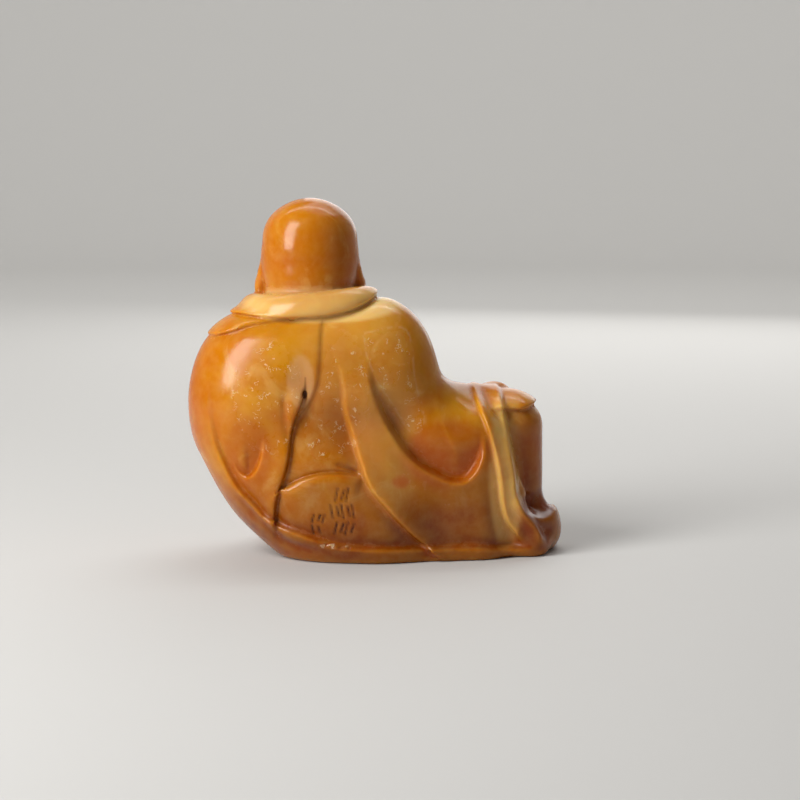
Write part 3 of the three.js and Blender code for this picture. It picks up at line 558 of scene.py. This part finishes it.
HEAD_PLACE = [-18.5, 3, 85.4]
HEAD_TURN = [-4, 0, 0]
BASE_EASE = 0.9  # how round the edge of the underside is
RELIEF_REACH = 6  # the folds are worked out only this near to the robe's surface


def stone_shape():
    clothed = clothed_shape()
    head = placed(HEAD_PLACE, HEAD_TURN, head_shape())
    bare = join(1.2, torso_shape(), head)

    def carved(x, y, z):
        value = clothed(x, y, z)
        shown = np.abs(value) < RELIEF_REACH
        value[shown] -= relief(x[shown], y[shown], z[shown])
        return value
    body = join(0.7, bare, carved, feet_shape(), hands_shape())
    return cut(BASE_EASE, body, lambda x, y, z: z)


# Corners of the box that the grid fills, and the side in cells of the blocks that are looked at first.
LOW = np.array([-60, -32, -3], dtype=np.float32)
HIGH = np.array([60, 46, 104], dtype=np.float32)
BLOCK = 5
# A block holds some of the surface only where its middle is nearer to it than this.
BLOCK_REACH = BLOCK * CELL * 1.1 + 2.2


def in_parts(shape, x, y, z, size=60000):
    """The shape's values, worked out for so many places at a time."""
    parts = [shape(x[n:n + size], y[n:n + size], z[n:n + size]) for n in range(0, len(x), size)]
    return np.concatenate(parts)


def sampled(shape):
    """Values on a grid of cells, exact near the surface and rough elsewhere."""
    blocks = np.ceil((HIGH - LOW) / (CELL * BLOCK)).astype(int)
    middles = [LOW[n] + (np.arange(blocks[n]) + 0.5) * BLOCK * CELL - CELL / 2 for n in range(3)]
    x, y, z = (v.ravel().astype(np.float32) for v in np.meshgrid(*middles, indexing="ij"))
    rough = in_parts(shape, x, y, z).reshape(blocks)
    values = rough.repeat(BLOCK, 0).repeat(BLOCK, 1).repeat(BLOCK, 2)
    wanted = np.abs(values) < BLOCK_REACH
    i, j, k = (v.astype(np.float32) for v in np.nonzero(wanted))
    values[wanted] = in_parts(shape, LOW[0] + i * CELL, LOW[1] + j * CELL, LOW[2] + k * CELL)
    return values


def surface_of(values):
    """A vertex in each cell that the surface crosses, and a four-sided face for each grid edge crossed."""
    nx, ny, nz = values.shape
    flat = values.ravel()
    strides = np.array([ny * nz, nz, 1])
    total = np.zeros((flat.size, 3))
    hits = np.zeros(flat.size)
    faces = []
    for axis in range(3):
        size = [nx, ny, nz]
        size[axis] -= 1
        grid = np.stack(np.meshgrid(*[np.arange(s) for s in size], indexing="ij"), -1).reshape(-1, 3)
        here = grid @ strides
        there = here + strides[axis]
        crossed = (flat[here] < 0) != (flat[there] < 0)
        grid, here, there = grid[crossed], here[crossed], there[crossed]
        share = flat[here] / (flat[here] - flat[there])
        place = grid.astype(float)
        place[:, axis] += share
        u, v = strides[(axis + 1) % 3], strides[(axis + 2) % 3]
        cells = [here, here - u, here - u - v, here - v]
        for cell in cells:
            for n in range(3):
                total[:, n] += np.bincount(cell, place[:, n], flat.size)
            hits += np.bincount(cell, minlength=flat.size)
        quads = np.stack(cells, 1)
        outward = flat[here] > 0
        quads[outward] = quads[outward][:, ::-1]
        faces.append(quads)
    used = np.flatnonzero(hits)
    number = np.full(flat.size, -1)
    number[used] = np.arange(len(used))
    return LOW + total[used] / hits[used][:, None] * CELL, number[np.concatenate(faces)]


# The way over which a slope is measured, the least slope that is reckoned with, and the furthest that a
# vertex moves at once.
SLOPE_STEP = 0.04
LEAST_SLOPE = 0.6
MOST_MOVE = 0.4


def slopes(shape, points):
    """The shape's values at the points, and how fast they grow along x, y and z."""
    x, y, z = points.astype(np.float32).T
    here = in_parts(shape, x, y, z)
    steps = SLOPE_STEP * np.eye(3, dtype=np.float32)
    ahead = [in_parts(shape, x + dx, y + dy, z + dz) for dx, dy, dz in steps]
    return here, (np.stack(ahead, 1) - here[:, None]) / SLOPE_STEP


def corners_of(mesh):
    places = np.zeros(len(mesh.vertices) * 3)
    mesh.vertices.foreach_get("co", places)
    return places.reshape(-1, 3)


def neighbours(mesh):
    """Each vertex paired with those that it shares an edge with, and how many they are."""
    ends = np.zeros(len(mesh.edges) * 2, dtype=int)
    mesh.edges.foreach_get("vertices", ends)
    ends = ends.reshape(-1, 2)
    pairs = np.concatenate([ends, ends[:, ::-1]])
    counts = np.maximum(1, np.bincount(pairs[:, 0], minlength=len(mesh.vertices)))
    return pairs, counts[:, None]


def evened(points, pairs, counts):
    """Every point moved to the middle of its neighbours."""
    sums = [np.bincount(pairs[:, 0], points[pairs[:, 1], n], len(points)) for n in range(3)]
    return np.stack(sums, 1) / counts


def refine(mesh, wanted):
    """Splits each edge that lies in wanted places in two, and the faces with them."""
    work = bmesh.new()
    work.from_mesh(mesh)
    work.verts.ensure_lookup_table()
    marks = wanted(corners_of(mesh))
    edges = [edge for edge in work.edges if marks[edge.verts[0].index] or marks[edge.verts[1].index]]
    bmesh.ops.subdivide_edges(work, edges=edges, cuts=1, use_grid_fill=True)
    work.to_mesh(mesh)
    work.free()


def settle(mesh, shape, rounds, share):
    """Evens the vertices out by a share of the way, and puts them back on the surface."""
    points = corners_of(mesh)
    pairs, counts = neighbours(mesh)
    for _ in range(rounds):
        points = mix(points, evened(points, pairs, counts), share)
        here, slope = slopes(shape, points)
        steep = np.maximum(LEAST_SLOPE, np.linalg.norm(slope, axis=1))
        move = np.clip(-here / steep, -MOST_MOVE, MOST_MOVE)
        points = points + slope * (move / steep)[:, None]
    points[:, 2] = np.maximum(points[:, 2], 0)
    mesh.vertices.foreach_set("co", points.ravel())
    mesh.update()


def gap_to(x, z, points):
    """How far places lie from a fold's line, as seen from the front or back."""
    line = smooth_line(points, FOLD_STEPS)
    nearest = np.full(len(x), 1e9)
    for (ax, az), (bx, bz) in zip(line[:-1], line[1:]):
        ux, uz = bx - ax, bz - az
        t = np.clip(((x - ax) * ux + (z - az) * uz) / (ux * ux + uz * uz), 0, 1)
        nearest = np.minimum(nearest, np.hypot(x - ax - ux * t, z - az - uz * t))
    return nearest


# A many-sided patch on the right shoulder, as it shows from the back, and its closed outline.
SHOULDER_PATCH = [
    [-3.1, 64], [8.4, 64.4], [11, 50.2], [13.5, 38.9], [10.1, 36], [5.3, 43.1], [1.1, 50.2], [-2, 57.3],
]
SHOULDER_OUTLINE = [*SHOULDER_PATCH, SHOULDER_PATCH[0]]

BACK_LINES = [
    COLLAR_EDGE, SECOND_COLLAR_FOLD, BACK_SEAM, LEFT_SLEEVE_EDGE, RIGHT_ROBE_EDGE, RIGHT_SLEEVE_HOLLOW,
    STRIP_INNER_EDGE, STRIP_OUTER_EDGE, UNDER_KNEECAP, RIGHT_CUFF, HEM_EDGE, HIP_CREASE, LEFT_HOLLOW,
]
DARK_LINES = [BACK_SEAM, LEFT_SLEEVE_EDGE, HIP_CREASE]

# Boxes, by their low and high corners, in which the mesh is fine: the face, the two hands and the feet.
FINE_BOXES = [
    ([-31.5, 4, 71], [-5.5, 46, 104]),
    ([25, 14, 33], [43, 46, 104]),
    ([-36, 17, 9], [-18, 46, 28]),
    ([-2, 24, -3], [60, 46, 9]),
]
# Those in which it is finest: the strokes, the eyes and the mouth.
FINEST_BOXES = [
    ([-19, -32, 3.4], [-3, 0, 23]),
    ([-27.5, 12, 83], [-9.5, 46, 89]),
    ([-24.5, 14, 74], [-12.5, 46, 80]),
]


# How far to each side of the lines the mesh is fine, and where the front's lines take over.
BACK_LINE_REACH = 1.1
OUTLINE_REACH = 0.7
LAPEL_REACH = 1
DARK_LINE_REACH = 0.8
FRONT_FROM = 6


def in_boxes(points, boxes):
    return np.any([np.all((points > low) & (points < high), axis=1) for low, high in boxes], axis=0)


def near_lines(x, z, lines, reach):
    return np.any([gap_to(x, z, line) < reach for line in lines], axis=0)


def fine_places(points):
    x, y, z = points.T
    back = near_lines(x, z, BACK_LINES, BACK_LINE_REACH)
    back |= near_lines(x, z, [SHOULDER_OUTLINE], OUTLINE_REACH)
    front = near_lines(x, z, [LEFT_LAPEL, RIGHT_LAPEL], LAPEL_REACH)
    return in_boxes(points, FINE_BOXES) | back & (y < FRONT_FROM) | front & (y > FRONT_FROM)


def finest_places(points):
    x, y, z = points.T
    return in_boxes(points, FINEST_BOXES) | near_lines(x, z, DARK_LINES, DARK_LINE_REACH) & (y < 0)


shape = stone_shape()
points, quads = surface_of(sampled(shape))
mesh = bpy.data.meshes.new("budai")
mesh.from_pydata(points.tolist(), [], quads.tolist())
settle(mesh, shape, 2, 0.5)
refine(mesh, fine_places)
settle(mesh, shape, 1, 0.25)
refine(mesh, finest_places)
settle(mesh, shape, 1, 0.15)


def creases(mesh, rounds):
    """How far each vertex lies below the evened-out surface about it: above 0 in a crease."""
    points = corners_of(mesh)
    pairs, counts = neighbours(mesh)
    smooth = points
    for _ in range(rounds):
        smooth = evened(smooth, pairs, counts)
    normals = np.zeros(len(points) * 3)
    mesh.vertices.foreach_get("normal", normals)
    return ((smooth - points) * normals.reshape(-1, 3)).sum(1)


def add_values(mesh, name, values):
    """Keeps a value from 0 to 1 for each vertex, which the stone's colours go by."""
    attribute = mesh.attributes.new(name, "FLOAT", "POINT")
    attribute.data.foreach_set("value", np.clip(values, 0, 1).astype(np.float32))


def oval(x, z, centre, halves, soft, strength):
    """A soft oval, as seen from the back: its strength inside and 0 outside."""
    reach = np.hypot((x - centre[0]) / halves[0], (z - centre[1]) / halves[1])
    return strength * ease((1 + soft - reach) / soft)


def strongest(x, z, ovals):
    return np.maximum.reduce([oval(x, z, *one) for one in ovals])


def inside_corners(x, z, corners, soft):
    """1 on the inner side of all of the patch's sides and 0 elsewhere, with a soft edge."""
    depth = np.full(len(x), 1e9)
    for (ax, az), (bx, bz) in zip(corners, corners[1:] + corners[:1]):
        ux, uz = bx - ax, bz - az
        depth = np.minimum(depth, -(ux * (z - az) - uz * (x - ax)) / math.hypot(ux, uz))
    return ease(0.5 + depth / soft)


def on_line(x, z, points, width, strength):
    return strength * np.exp(-((gap_to(x, z, points) / width) ** 2))


# Ovals in which the stone's colour or finish differs, as seen from the back: centre, half sizes, softness
# and strength.
ETCHED_OVALS = [
    ((-29.5, 47), (8, 13), 0.35, 1), ((-8.5, 47), (5.5, 15), 0.35, 1), ((-13.5, 36), (5, 6), 0.35, 1),
]
STRIP_OVAL = ((36.5, 24), (4, 19), 0.5, 0.7)
# The collar, the strip over the knee, the middle of the back and the robe's right side.
PALE_OVALS = [
    ((-15, 71.3), (20, 4.3), 0.25, 1), STRIP_OVAL,
    ((-6, 54), (11, 15), 0.8, 0.15), ((2, 30), (7, 16), 0.7, 0.35),
]
CROWN_OVAL = ((-18.5, 95), (16, 16), 0.8, 0.6)
# Hollows given a deeper amber as painted shade.
SHADED_HOLLOW_OVALS = [((-35, 31), (5, 8), 0.6, 0.7), ((20, 30), (9, 7), 0.7, 1)]
# Where the creases get no painted shade: the small hollow low on the left sleeve.
NO_CREASE_SHADE_OVAL = ((-35, 30), (6, 8), 0.5, 0.6)
# Painted shade in the middle of the back.
SHADED_BACK_OVAL = ((-11, 41), (13, 15), 0.8, 0.22)
PIT_OVAL = ((-19.2, 47.4), (0.5, 1), 0.5, 1)
LEAF_OVAL = ((-20.2, 51), (3.2, 6.4), 0.22, 1)
CHIPS_OVAL = ((-11.8, 5.5), (3, 0.5), 0.6, 1)
SPOT_OVAL = ((7, 23), (1.6, 1.1), 1, 1)
# Stained lines: the line, its width and its strength. None is stained above the collar's lower edge.
STAINED_LINES = [(BACK_SEAM, 0.15, 0.25), (HIP_CREASE, 0.22, 0.25), (SMALL_HIP_CREASE, 0.25, 0.2)]
STAIN_TOP = 68
CREASE_ROUNDS = 14
FULL_CREASE = 0.5
FULL_RIDGE = 0.35


def add_pale_deep_and_shade_values(mesh, x, z, back):
    """Where the stone is pale, where it is a deeper amber (partly painted shade in the hollows, on the
    right shin and at the base), and where painted shade makes it a darker amber low down, on the right and
    in the middle of the back.
    """
    strip = oval(x, z, *STRIP_OVAL) * back
    add_values(mesh, "pale", strongest(x, z, PALE_OVALS) * back)
    # A deeper amber at the left edge and on the crown, and painted shade in the hollows, on the right shin
    # and at the base.
    left_edge = ease((-x - 40) / 12)
    crown = oval(x, z, *CROWN_OVAL)
    hollow_shade = strongest(x, z, SHADED_HOLLOW_OVALS) * back
    shin_shade = ease((x - 38) / 5) * ease((42 - z) / 6)
    base_shade = ease((6 - z) / 5) * 0.8
    add_values(mesh, "deep_tone_and_shade", np.maximum.reduce([left_edge, crown, hollow_shade, shin_shade, base_shade]))
    # Painted shade: a darker amber low down, low on the right and in the middle of the back, but not on the
    # strip over the knee.
    low = 1.1 * ease((31 - z) / 26) + 0.35 * ease((x - 4) / 40) * ease((44 - z) / 8)
    low += oval(x, z, *SHADED_BACK_OVAL) * back
    add_values(mesh, "low", low * (1 - strip))


def add_mark_values(mesh, x, z, back):
    """Where the back is etched, stained, chipped and cut."""
    etched = np.maximum(strongest(x, z, ETCHED_OVALS), inside_corners(x, z, SHOULDER_PATCH, 1.2))
    add_values(mesh, "etched", etched * back)
    add_values(mesh, "outline", on_line(x, z, SHOULDER_OUTLINE, 0.3, 0.5) * back)
    crack = on_line(x, z, LEFT_SLEEVE_EDGE, 0.2, mix(0.3, 0.65, ease((z - 16) / 14)))
    stains = [on_line(x, z, *one) * (z < STAIN_TOP) for one in STAINED_LINES]
    add_values(mesh, "dark", np.maximum.reduce([crack, oval(x, z, *PIT_OVAL), *stains]) * back)
    add_values(mesh, "leaf", oval(x, z, *LEAF_OVAL) * back)
    add_values(mesh, "chips", oval(x, z, *CHIPS_OVAL) * back)
    add_values(mesh, "strokes", strokes(x, z) * back)
    add_values(mesh, "spot", oval(x, z, *SPOT_OVAL) * back)


def add_all_values(mesh):
    x, y, z = corners_of(mesh).T
    back = ease((2 - y) / 6)
    depth = creases(mesh, CREASE_ROUNDS)
    # Painted shade in the creases: how deeply each vertex lies in a crease, which tints it a deeper amber
    # and dulls it a little, except in the small hollow low on the left sleeve.
    add_values(mesh, "crease", depth / FULL_CREASE * (1 - oval(x, z, *NO_CREASE_SHADE_OVAL) * back))
    # Painted light: a lighter honey on ridges, by how far they stand out from the surface about them.
    add_values(mesh, "ridge", -depth / FULL_RIDGE)
    add_pale_deep_and_shade_values(mesh, x, z, back)
    add_mark_values(mesh, x, z, back)


add_all_values(mesh)
mesh.vertices.foreach_set("co", (corners_of(mesh) * SHARE).ravel())
mesh.polygons.foreach_set("use_smooth", [True] * len(mesh.polygons))
mesh.update()
budai = bpy.data.objects.new("budai", mesh)
bpy.context.scene.collection.objects.link(budai)
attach(budai, "root")
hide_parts("budai_figure")


class Nodes:
    """Adds shader nodes and links them in short lines."""

    def __init__(self, material):
        self.tree = material.node_tree

    def add(self, kind, **settings):
        node = self.tree.nodes.new(kind)
        for name, value in settings.items():
            setattr(node, name, value)
        return node

    def link(self, source, target):
        self.tree.links.new(source, target)

    def value(self, name):
        return self.add("ShaderNodeAttribute", attribute_name=name).outputs["Fac"]

    def noise(self, place, scale, detail=3, roughness=0.5, distortion=0):
        node = self.add("ShaderNodeTexNoise")
        node.inputs["Scale"].default_value = scale
        node.inputs["Detail"].default_value = detail
        node.inputs["Roughness"].default_value = roughness
        node.inputs["Distortion"].default_value = distortion
        self.link(place, node.inputs["Vector"])
        return node.outputs["Fac"]

    def ramp(self, value, low, high, to_low=0, to_high=1):
        node = self.add("ShaderNodeMapRange", interpolation_type="SMOOTHSTEP")
        node.inputs["From Min"].default_value = low
        node.inputs["From Max"].default_value = high
        node.inputs["To Min"].default_value = to_low
        node.inputs["To Max"].default_value = to_high
        self.link(value, node.inputs["Value"])
        return node.outputs["Result"]

    def math(self, operation, a, b):
        node = self.add("ShaderNodeMath", operation=operation)
        for socket, value in zip(node.inputs, (a, b)):
            if isinstance(value, (int, float)):
                socket.default_value = value
            else:
                self.link(value, socket)
        return node.outputs["Value"]

    def times(self, a, b):
        return self.math("MULTIPLY", a, b)

    def mixed(self, share, a, b):
        node = self.add("ShaderNodeMix", data_type="RGBA")
        for socket, value in ((node.inputs["Factor"], share), (node.inputs[6], a), (node.inputs[7], b)):
            if isinstance(value, tuple):
                socket.default_value = (*value, 1)
            else:
                self.link(value, socket)
        return node.outputs[2]

    def bump(self, height, distance, strength):
        node = self.add("ShaderNodeBump")
        node.inputs["Distance"].default_value = distance
        node.inputs["Strength"].default_value = strength
        self.link(height, node.inputs["Height"])
        return node.outputs["Normal"]


# The stone's colours, as shares of the light that it throws back.
HONEY = (0.55, 0.225, 0.004)
AMBER = (0.47, 0.135, 0)
CREAM = (0.73, 0.48, 0.16)
# Deeper amber, also laid on as painted shade in the hollows, the creases, on the right shin and at the
# base.
DEEP = (0.38, 0.066, 0)
# Dark amber laid on as painted shade.
SHADE_AMBER = (0.17, 0.019, 0)
BROWN = (0.035, 0.009, 0.002)
CRACK_BROWN = (0.1, 0.024, 0.003)
LEAF = (0.56, 0.29, 0.12)
WHITE_FLECK = (0.8, 0.66, 0.42)
RED_SPOT = (0.45, 0.07, 0.01)
# Tints laid over the clouded stone, in this order: the vertex value, the most that it tints, and the tint.
# The first three paint light and shade: a dark amber low down, a lighter honey on ridges and a deeper amber
# in creases.
TINTS = [
    ("low", 0.85, SHADE_AMBER), ("ridge", 0.3, HONEY), ("crease", 0.34, DEEP), ("leaf", 0.6, LEAF),
    ("spot", 0.6, RED_SPOT),
]
# How fine the stone's patterns are: waves to the metre.
CLOUD_SCALE = 55
VEIN_SCALE = 130
SWELL_SCALE = 210
STAIN_SCALE = 480
GRAIN_SCALE = 620
GROUP_SCALE = 700
WEAR_SCALE = 900
PIT_SCALE = 900
CHIP_SCALE = 1100
SQUIGGLE_SCALE = 1300
BUMP_HEIGHT = 0.0001


def light_marks(n, place):
    """Light squiggles in loose groups on the etched places, the chips, and the patch's worn outline."""
    wave = n.math("ABSOLUTE", n.math("SUBTRACT", n.noise(place, SQUIGGLE_SCALE, 1, 0.5, 0.8), 0.5), 0)
    groups = n.ramp(n.noise(place, GROUP_SCALE, 2, 0.5), 0.57, 0.64)
    squiggles = n.times(n.times(n.ramp(wave, 0.012, 0.045, 1, 0), groups), n.value("etched"))
    chips = n.times(n.value("chips"), n.ramp(n.noise(place, CHIP_SCALE, 2), 0.5, 0.56))
    worn = n.times(n.value("outline"), n.ramp(n.noise(place, WEAR_SCALE, 2), 0.42, 0.55, 0.1, 1))
    return n.math("MAXIMUM", n.math("MAXIMUM", squiggles, chips), n.times(worn, 0.6))


def stone_colour(n, place, grain, marks):
    clouds = n.ramp(n.noise(place, CLOUD_SCALE, 4, 0.55, 0.6), 0.38, 0.64)
    veins = n.ramp(n.noise(place, VEIN_SCALE, 6, 0.6, 1.2), 0.52, 0.7)
    colour = n.mixed(clouds, AMBER, HONEY)
    colour = n.mixed(n.times(veins, 0.3), colour, CREAM)
    colour = n.mixed(n.times(n.value("pale"), n.ramp(clouds, 0, 1, 0.6, 1)), colour, CREAM)
    # Deeper amber, partly painted shade in the hollows, on the right shin and at the base.
    colour = n.mixed(n.times(n.value("deep_tone_and_shade"), n.ramp(veins, 0, 1, 0.9, 0.6)), colour, DEEP)
    for name, most, tint in TINTS:
        colour = n.mixed(n.times(n.value(name), most), colour, tint)
    colour = n.mixed(n.ramp(grain, 0.3, 0.75, 0, 0.08), colour, CREAM)
    colour = n.mixed(n.times(marks, 0.45), colour, WHITE_FLECK)

    # Dark stain in the seams, broken up a little, and in the strokes.
    broken = n.ramp(n.noise(place, STAIN_SCALE, 3), 0.3, 0.55, 0.35, 1)
    colour = n.mixed(n.times(n.value("dark"), broken), colour, CRACK_BROWN)
    return n.mixed(n.times(n.value("strokes"), 0.95), colour, BROWN)


def stone_roughness(n, grain):
    """Polished all over, a little duller where the stone is etched and in its creases."""
    dull = n.math("MAXIMUM", n.times(n.value("etched"), 0.13), n.times(n.value("crease"), 0.2))
    return n.math("ADD", n.ramp(grain, 0.25, 0.8, 0.13, 0.26), dull)


def stone_bump(n, place, grain, marks):
    """Slow swells left by hand polishing, fine grain, raised marks and scattered pits."""
    height = n.math("ADD", n.times(n.noise(place, SWELL_SCALE, 2, 0.4), 0.6), n.times(grain, 0.22))
    height = n.math("ADD", height, n.times(marks, 0.5))
    pits = n.ramp(n.noise(place, PIT_SCALE, 2, 0.6), 0.7, 0.78)
    return n.bump(n.math("SUBTRACT", height, n.times(pits, 0.4)), BUMP_HEIGHT, 0.55)


def stone_material():
    material = bpy.data.materials.new("amber_stone")
    material.use_nodes = True
    n = Nodes(material)
    shader = material.node_tree.nodes["Principled BSDF"]
    place = n.add("ShaderNodeTexCoord").outputs["Object"]
    grain = n.noise(place, GRAIN_SCALE, 3, 0.6)
    marks = light_marks(n, place)
    n.link(stone_colour(n, place, grain, marks), shader.inputs["Base Color"])
    n.link(stone_roughness(n, grain), shader.inputs["Roughness"])
    n.link(stone_bump(n, place, grain, marks), shader.inputs["Normal"])

    shader.inputs["Subsurface Weight"].default_value = 0.45
    shader.inputs["Subsurface Radius"].default_value = (1, 0.38, 0.08)
    shader.inputs["Subsurface Scale"].default_value = 0.0035
    shader.inputs["Specular IOR Level"].default_value = 0.27
    return material


mesh.materials.append(stone_material())


def material_of(name, colour, roughness):
    material = bpy.data.materials.new(name)
    material.use_nodes = True
    shader = material.node_tree.nodes["Principled BSDF"]
    shader.inputs["Base Color"].default_value = (*colour, 1)
    shader.inputs["Roughness"].default_value = roughness
    return material


def add_floor():
    """A flat round floor whose rim curves up to a plain wall on every side."""
    rim, bend, top, sides = 0.75, 0.25, 0.9, 96
    profile = [(rim * n / 6, 0) for n in range(7)]
    bend_angles = np.linspace(0, math.pi / 2, 13)[1:]
    profile += [(rim + bend * math.sin(a), bend - bend * math.cos(a)) for a in bend_angles]
    profile.append((rim + bend, top))
    rows = len(profile)
    turns = [2 * math.pi * n / sides for n in range(sides)]
    places = [(r * math.cos(a), r * math.sin(a), h) for a in turns for r, h in profile]
    faces = [
        (a * rows + k, a * rows + k + 1, (a + 1) % sides * rows + k + 1, (a + 1) % sides * rows + k)
        for a in range(sides) for k in range(rows - 1)
    ]
    data = bpy.data.meshes.new("floor")
    data.from_pydata(places, [], faces)
    data.polygons.foreach_set("use_smooth", [True] * len(data.polygons))
    data.materials.append(material_of("floor_pale", (0.56, 0.55, 0.53), 0.8))
    floor = bpy.data.objects.new("floor", data)
    bpy.context.scene.collection.objects.link(floor)
    floor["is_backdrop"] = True


FIGURE_MIDDLE = (0, 0, 0.03)
# Area lights: name, place, the place that it shines at, width and height, and power.
LIGHTS = [
    ("key", (-0.25, -0.19, 0.21), FIGURE_MIDDLE, (0.15, 0.32), 1.85),
    ("fill", (0.3, -0.2, 0.14), FIGURE_MIDDLE, (0.3, 0.3), 0.04),
    ("top", (0.08, 0.16, 0.42), FIGURE_MIDDLE, (0.3, 0.3), 0.4),
    ("front", (0.1, 0.4, 0.2), FIGURE_MIDDLE, (0.3, 0.3), 0.35),
    ("backdrop", (0, 0.3, 0.7), (0, 1, 0.2), (0.9, 0.3), 5),
]


def add_light(name, place, aim, size, power):
    data = bpy.data.lights.new(name, "AREA")
    data.shape = "RECTANGLE"
    data.size, data.size_y = size
    data.energy = power
    light = bpy.data.objects.new(name, data)
    light.location = place
    light.rotation_euler = (Vector(aim) - Vector(place)).to_track_quat("-Z", "Y").to_euler()
    bpy.context.scene.collection.objects.link(light)


def add_world():
    world = bpy.data.worlds.new("studio")
    bpy.context.scene.world = world
    world.use_nodes = True
    background = world.node_tree.nodes["Background"]
    background.inputs["Color"].default_value = (0.86, 0.83, 0.79, 1)
    background.inputs["Strength"].default_value = 0.12


TARGET = Vector((0.00392, 0, 0.0252))
DISTANCE = 0.3628
ELEVATION = math.radians(7)


def add_camera():
    data = bpy.data.cameras.new("camera")
    data.lens = 100
    data.sensor_width = 36
    data.clip_start = 0.01
    data.clip_end = 20
    look = Vector((0, math.cos(ELEVATION), -math.sin(ELEVATION)))
    camera = bpy.data.objects.new("camera", data)
    camera.location = TARGET - look * DISTANCE
    camera.rotation_euler = look.to_track_quat("-Z", "Y").to_euler()
    bpy.context.scene.collection.objects.link(camera)
    bpy.context.scene.camera = camera


add_floor()
add_world()
for one in LIGHTS:
    add_light(*one)
add_camera()
bpy.context.scene.view_settings.view_transform = "Standard"

plain = [[list(map(float, corner)) for corner in box] for box in (cad_box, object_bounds())]
